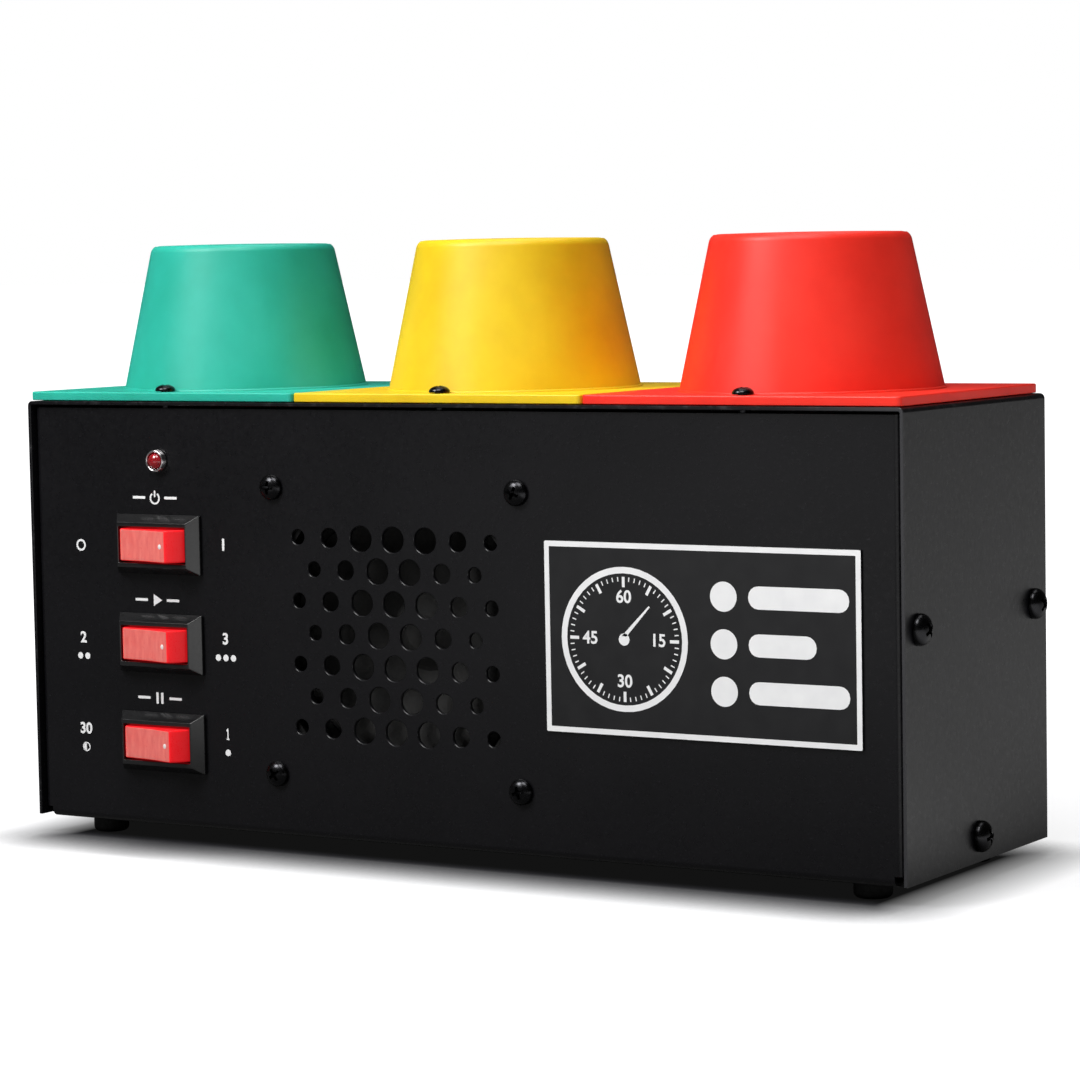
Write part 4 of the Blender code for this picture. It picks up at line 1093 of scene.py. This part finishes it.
def make_panel_print():
    """Signs beside the switches. Dots count minutes, and a half disc is half a minute."""
    ink = Print(0, PANEL_Y, UNDERSIDE)
    heading_x, left_x, right_x = -0.1125, -0.1445, -0.0845
    power_z, round_z, rest_z = 0.1106, 0.0762, 0.0431  # the headings above the three switches

    for z in (power_z, round_z, rest_z):
        for side in (-1, 1):
            ink.bar(heading_x + side * 0.0066, z, 0.0052, 0.0009)
    ink.open_arc(heading_x, power_z - 0.0002, 0.0021, 0.0006, 125, 415)
    ink.bar(heading_x, power_z + 0.0013, 0.0006, 0.0022)
    back, point, half = heading_x - 0.0015, heading_x + 0.0020, 0.0020
    ink.shape([(back, round_z - half), (point, round_z), (back, round_z + half)])
    for side in (-1, 1):
        ink.bar(heading_x + side * 0.0010, rest_z, 0.0010, 0.0038)

    ink.circle(left_x, 0.0939, 0.0020, 0.0007)
    ink.bar(right_x, 0.0956, 0.0009, 0.0040)
    signs = (("2", left_x, 0.0591, 2), ("3", right_x, 0.0609, 3), ("30", left_x, 0.0279, 0))
    signs += (("1", right_x, 0.0292, 1),)
    height, lift, drop, pitch = 0.0038, 0.0032, 0.0030, 0.0031
    for text, x, z, dots in signs:
        if text == "1":
            ink.one(x, z + lift, height)
        else:
            ink.figure(text, x, z + lift, height, 0.00016)
        for i in range(dots):
            ink.disc(x + (i - (dots - 1) / 2) * pitch, z - drop, 0.0011)
        if not dots:
            ink.shape(arc((x, z - drop), 0.0013, 90, 270, 16))
            ink.circle(x, z - drop, 0.0016, 0.0004)
    ink.finish("panel_print")


def make_nameplate():
    """The plate's own print: a border, a minute dial and three rows of bars, one for each lamp."""
    low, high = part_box("nameplate")
    bm = bmesh.new()
    add_box(bm, low, high)
    round_edges(bm, 0.00015, 2)
    mesh = mesh_of("nameplate", bm, PLATE)
    show("nameplate_sheet", mesh, "timer_body", ["nameplate"], even=True)
    ink = Print((low.x + high.x) / 2, low.y, (low.z + high.z) / 2)
    width, height = high.x - low.x, high.z - low.z
    ink.frame_of(width - 0.0002, height - 0.0002, 0.0017)
    dial_x, dial_radius = -0.0265, 0.0225
    ink.circle(dial_x, 0, dial_radius, 0.0020)
    outer = dial_radius - 0.0031
    for tick in range(60):
        length, half = (0.0032, 0.0005) if tick % 5 == 0 else (0.0014, 0.00018)
        turn = math.radians(6 * tick)
        inner = outer - length
        across = Vector((math.cos(turn), -math.sin(turn)))
        along = Vector((math.sin(turn), math.cos(turn)))
        corners = (along * outer - across * half, along * outer + across * half)
        corners += (along * inner + across * half, along * inner - across * half)
        ink.shape([(dial_x + p.x, p.y) for p in corners])
    for text, turn in (("60", 0), ("15", 90), ("30", 180), ("45", 270)):
        reach = dial_radius - (0.0094 if turn % 180 == 0 else 0.0104)
        bearing = math.radians(turn)
        ink.figure(text, dial_x + reach * math.sin(bearing), reach * math.cos(bearing), 0.0040, 0.00012)
    ink.disc(dial_x, 0, 0.0019)
    pointer = ((-0.0009, 0.001), (0.0009, 0.001), (0.0093, 0.0103), (0.0088, 0.0106))
    ink.shape([(dial_x + x, z) for x, z in pointer])
    disc_x, bar_left = 0.0085, 0.0170
    for z, length in ((0.0145, 0.034), (0, 0.023), (-0.0145, 0.034)):
        ink.disc(disc_x, z, 0.0046)
        ink.bar(bar_left + length / 2, z, length, 0.0070, 0.0034)
    ink.finish("nameplate_ink")


# ---- pieces whose CAD shape stays ----
KEPT = {
    "lamp_rail": BARE_STEEL, "indicator_nut": BARE_STEEL, "speaker_magnet": BARE_STEEL,
    "speaker_basket": SPEAKER_STEEL, "speaker_cone": PAPER, "speaker_surround": FOAM,
    "transformer": LAMINATIONS, "control_board": BOARD, "board_rail_left": NYLON,
    "board_rail_right": NYLON, "switch_loom": SLEEVE, "mains_loom": SLEEVE,
    **{f"lamp_{colour}": GLASS for colour in COLOURS},
    **{f"lamp_holder_{colour}": PHENOLIC for colour in COLOURS},
}


def dress_kept_nodes():
    for node, material in KEPT.items():
        mesh = frame["nodes"][node].data
        mesh.materials.clear()
        mesh.materials.append(material)


# ---- studio ----
# Azimuth and elevation in degrees, distance and size in metres, and power in watts.
SOFTBOXES = {
    "key": (-31, 41, 1.4, (0.5, 0.5), 18),
    "fill": (15, 62, 1.5, (0.7, 0.7), 14),
    "top": (-172, 74, 1.4, (1.0, 0.8), 6),
}
LIGHT_AIM = Vector((0, 0, 0.11))


def direction(azimuth, elevation):
    """Towards an azimuth, 0 at the front and 90 at the right, and an elevation, in degrees."""
    a, e = math.radians(azimuth), math.radians(elevation)
    return Vector((math.sin(a) * math.cos(e), -math.cos(a) * math.cos(e), math.sin(e)))


def add_camera():
    azimuth, elevation, roll = 31.7, 4.54, math.radians(-1.02)
    distance, aside, above = 1.1662, 0.00633, 0.01549
    back = direction(azimuth, elevation)
    level = direction(azimuth + 90, 0)
    upright = back.cross(level)
    right = level * math.cos(roll) + upright * math.sin(roll)
    up = upright * math.cos(roll) - level * math.sin(roll)
    aim = Vector((0, MIDDLE_Y, UNDERSIDE + 0.080))
    spot = aim + back * distance + right * aside + up * above
    camera = linked("camera", bpy.data.cameras.new("camera"))
    camera.data.lens = 117.62
    camera.data.sensor_width = 36
    camera.data.clip_start = 0.01
    camera.matrix_world = Matrix.Translation(spot) @ Matrix((right, up, back)).transposed().to_4x4()
    bpy.context.scene.camera = camera


def add_softboxes():
    for name, (azimuth, elevation, distance, size, power) in SOFTBOXES.items():
        light = bpy.data.lights.new(name, "AREA")
        light.shape = "RECTANGLE"
        light.size, light.size_y = size
        light.energy = power
        box = linked(name, light)
        way = direction(azimuth, elevation)
        box.location = LIGHT_AIM + way * distance
        box.rotation_euler = way.to_track_quat("Z", "Y").to_euler()


def make_world():
    """White to the camera; as light it is dim, and brightest high in the front left."""
    world = bpy.data.worlds.new("studio")
    bpy.context.scene.world = world
    world.use_nodes = True
    nodes, links = world.node_tree.nodes, world.node_tree.links
    nodes.clear()
    output = nodes.new("ShaderNodeOutputWorld")
    seen, cast = nodes.new("ShaderNodeBackground"), nodes.new("ShaderNodeBackground")
    seen.inputs["Strength"].default_value = 1.0
    seen.inputs["Color"].default_value = (1, 1, 1, 1)
    mix = nodes.new("ShaderNodeMixShader")
    path = nodes.new("ShaderNodeLightPath")
    links.new(path.outputs["Is Camera Ray"], mix.inputs[0])
    links.new(cast.outputs[0], mix.inputs[1])
    links.new(seen.outputs[0], mix.inputs[2])
    links.new(mix.outputs[0], output.inputs["Surface"])
    place = nodes.new("ShaderNodeTexCoord")
    facing = nodes.new("ShaderNodeVectorMath")
    facing.operation = "DOT_PRODUCT"
    facing.inputs[1].default_value = direction(-60, 50)
    links.new(place.outputs["Generated"], facing.inputs[0])
    level = nodes.new("ShaderNodeMapRange")
    level.interpolation_type = "SMOOTHSTEP"
    for socket, value in (("From Min", -0.2), ("From Max", 0.95), ("To Min", 0.035), ("To Max", 0.11)):
        level.inputs[socket].default_value = value
    links.new(facing.outputs["Value"], level.inputs["Value"])
    links.new(level.outputs["Result"], cast.inputs["Strength"])


def reflected_cards(paint, x, y):
    """Two soft bright areas of the floor, beside the case and in front of it."""
    side = paint.ranged(x, 0, 1, 0.17, 0.24)
    side = paint.math("MULTIPLY", side, paint.ranged(y, 1.0, 0.46, 0.02, 0.20))
    ahead = paint.math("MULTIPLY", y, -1.0)
    front = paint.ranged(paint.math("DIVIDE", x, ahead), 0, 0.75, -0.72, -0.40)
    front = paint.math("MULTIPLY", front, paint.ranged(ahead, 0, 1, 0.40, 0.50))
    front = paint.math("MULTIPLY", front, paint.ranged(x, 1, 0, -0.10, 0.10))
    return paint.math("MAXIMUM", side, front)


def make_floor():
    """A pale floor that runs into the white background, with a contact shadow under the case.

    Its bright cards show only in reflections, and it sends little light back up.
    """
    bm = bmesh.new()
    bmesh.ops.create_grid(bm, x_segments=1, y_segments=1, size=30)
    floor = linked("floor", bpy.data.meshes.new("floor"))
    bm.to_mesh(floor.data)
    bm.free()
    paint = Paint("floor", Roughness=0.9, Specular_IOR_Level=0.0, Emission_Color=(1, 1, 1, 1))
    seen = paint.add("LightPath").outputs["Is Camera Ray"]
    split = paint.add("SeparateXYZ")
    paint.join(paint.place(), split.inputs["Vector"])
    x, y = split.outputs["X"], split.outputs["Y"]

    contact = paint.add("AmbientOcclusion", samples=16)
    contact.inputs["Distance"].default_value = 0.036
    beyond_ends = paint.ranged(paint.math("ABSOLUTE", x), 0.008, 1, 0.152, 0.186)
    open_sky = paint.math("MAXIMUM", paint.math("POWER", contact.outputs["AO"], 4.2), beyond_ends)
    cloud = paint.ramp(paint.noise(3, 2), (0.3, (0.30, 0.30, 0.31)), (0.7, (0.31, 0.31, 0.32)))
    shaded = paint.mix(open_sky, (0.010, 0.010, 0.012), cloud)
    paint.colour(paint.mix(seen, (0.10, 0.10, 0.10), shaded))

    squares = [paint.math("POWER", axis, 2.0) for axis in (x, y)]
    distance = paint.math("SQRT", paint.math("ADD", *squares))
    sweep = paint.math("MULTIPLY", paint.ranged(distance, 0.80, 1.2, 0.25, 0.8), open_sky)
    sweep = paint.math("MULTIPLY", sweep, seen)
    unseen = paint.math("SUBTRACT", 1.0, seen)
    cards = paint.math("MULTIPLY", reflected_cards(paint, x, y), unseen)
    paint.join(paint.math("ADD", sweep, cards), paint.shader.inputs["Emission Strength"])
    floor.data.materials.append(paint.material)


add_camera()
make_world()
make_floor()
add_softboxes()
bpy.context.scene.view_settings.view_transform = "Standard"

make_chassis()
make_cover()
make_screws()
make_lenses()
for switch in SWITCHES:
    make_switch(switch)
    make_rocker(switch)
make_indicator()
make_feet()
make_inlet()
make_panel_print()
make_nameplate()
dress_kept_nodes()
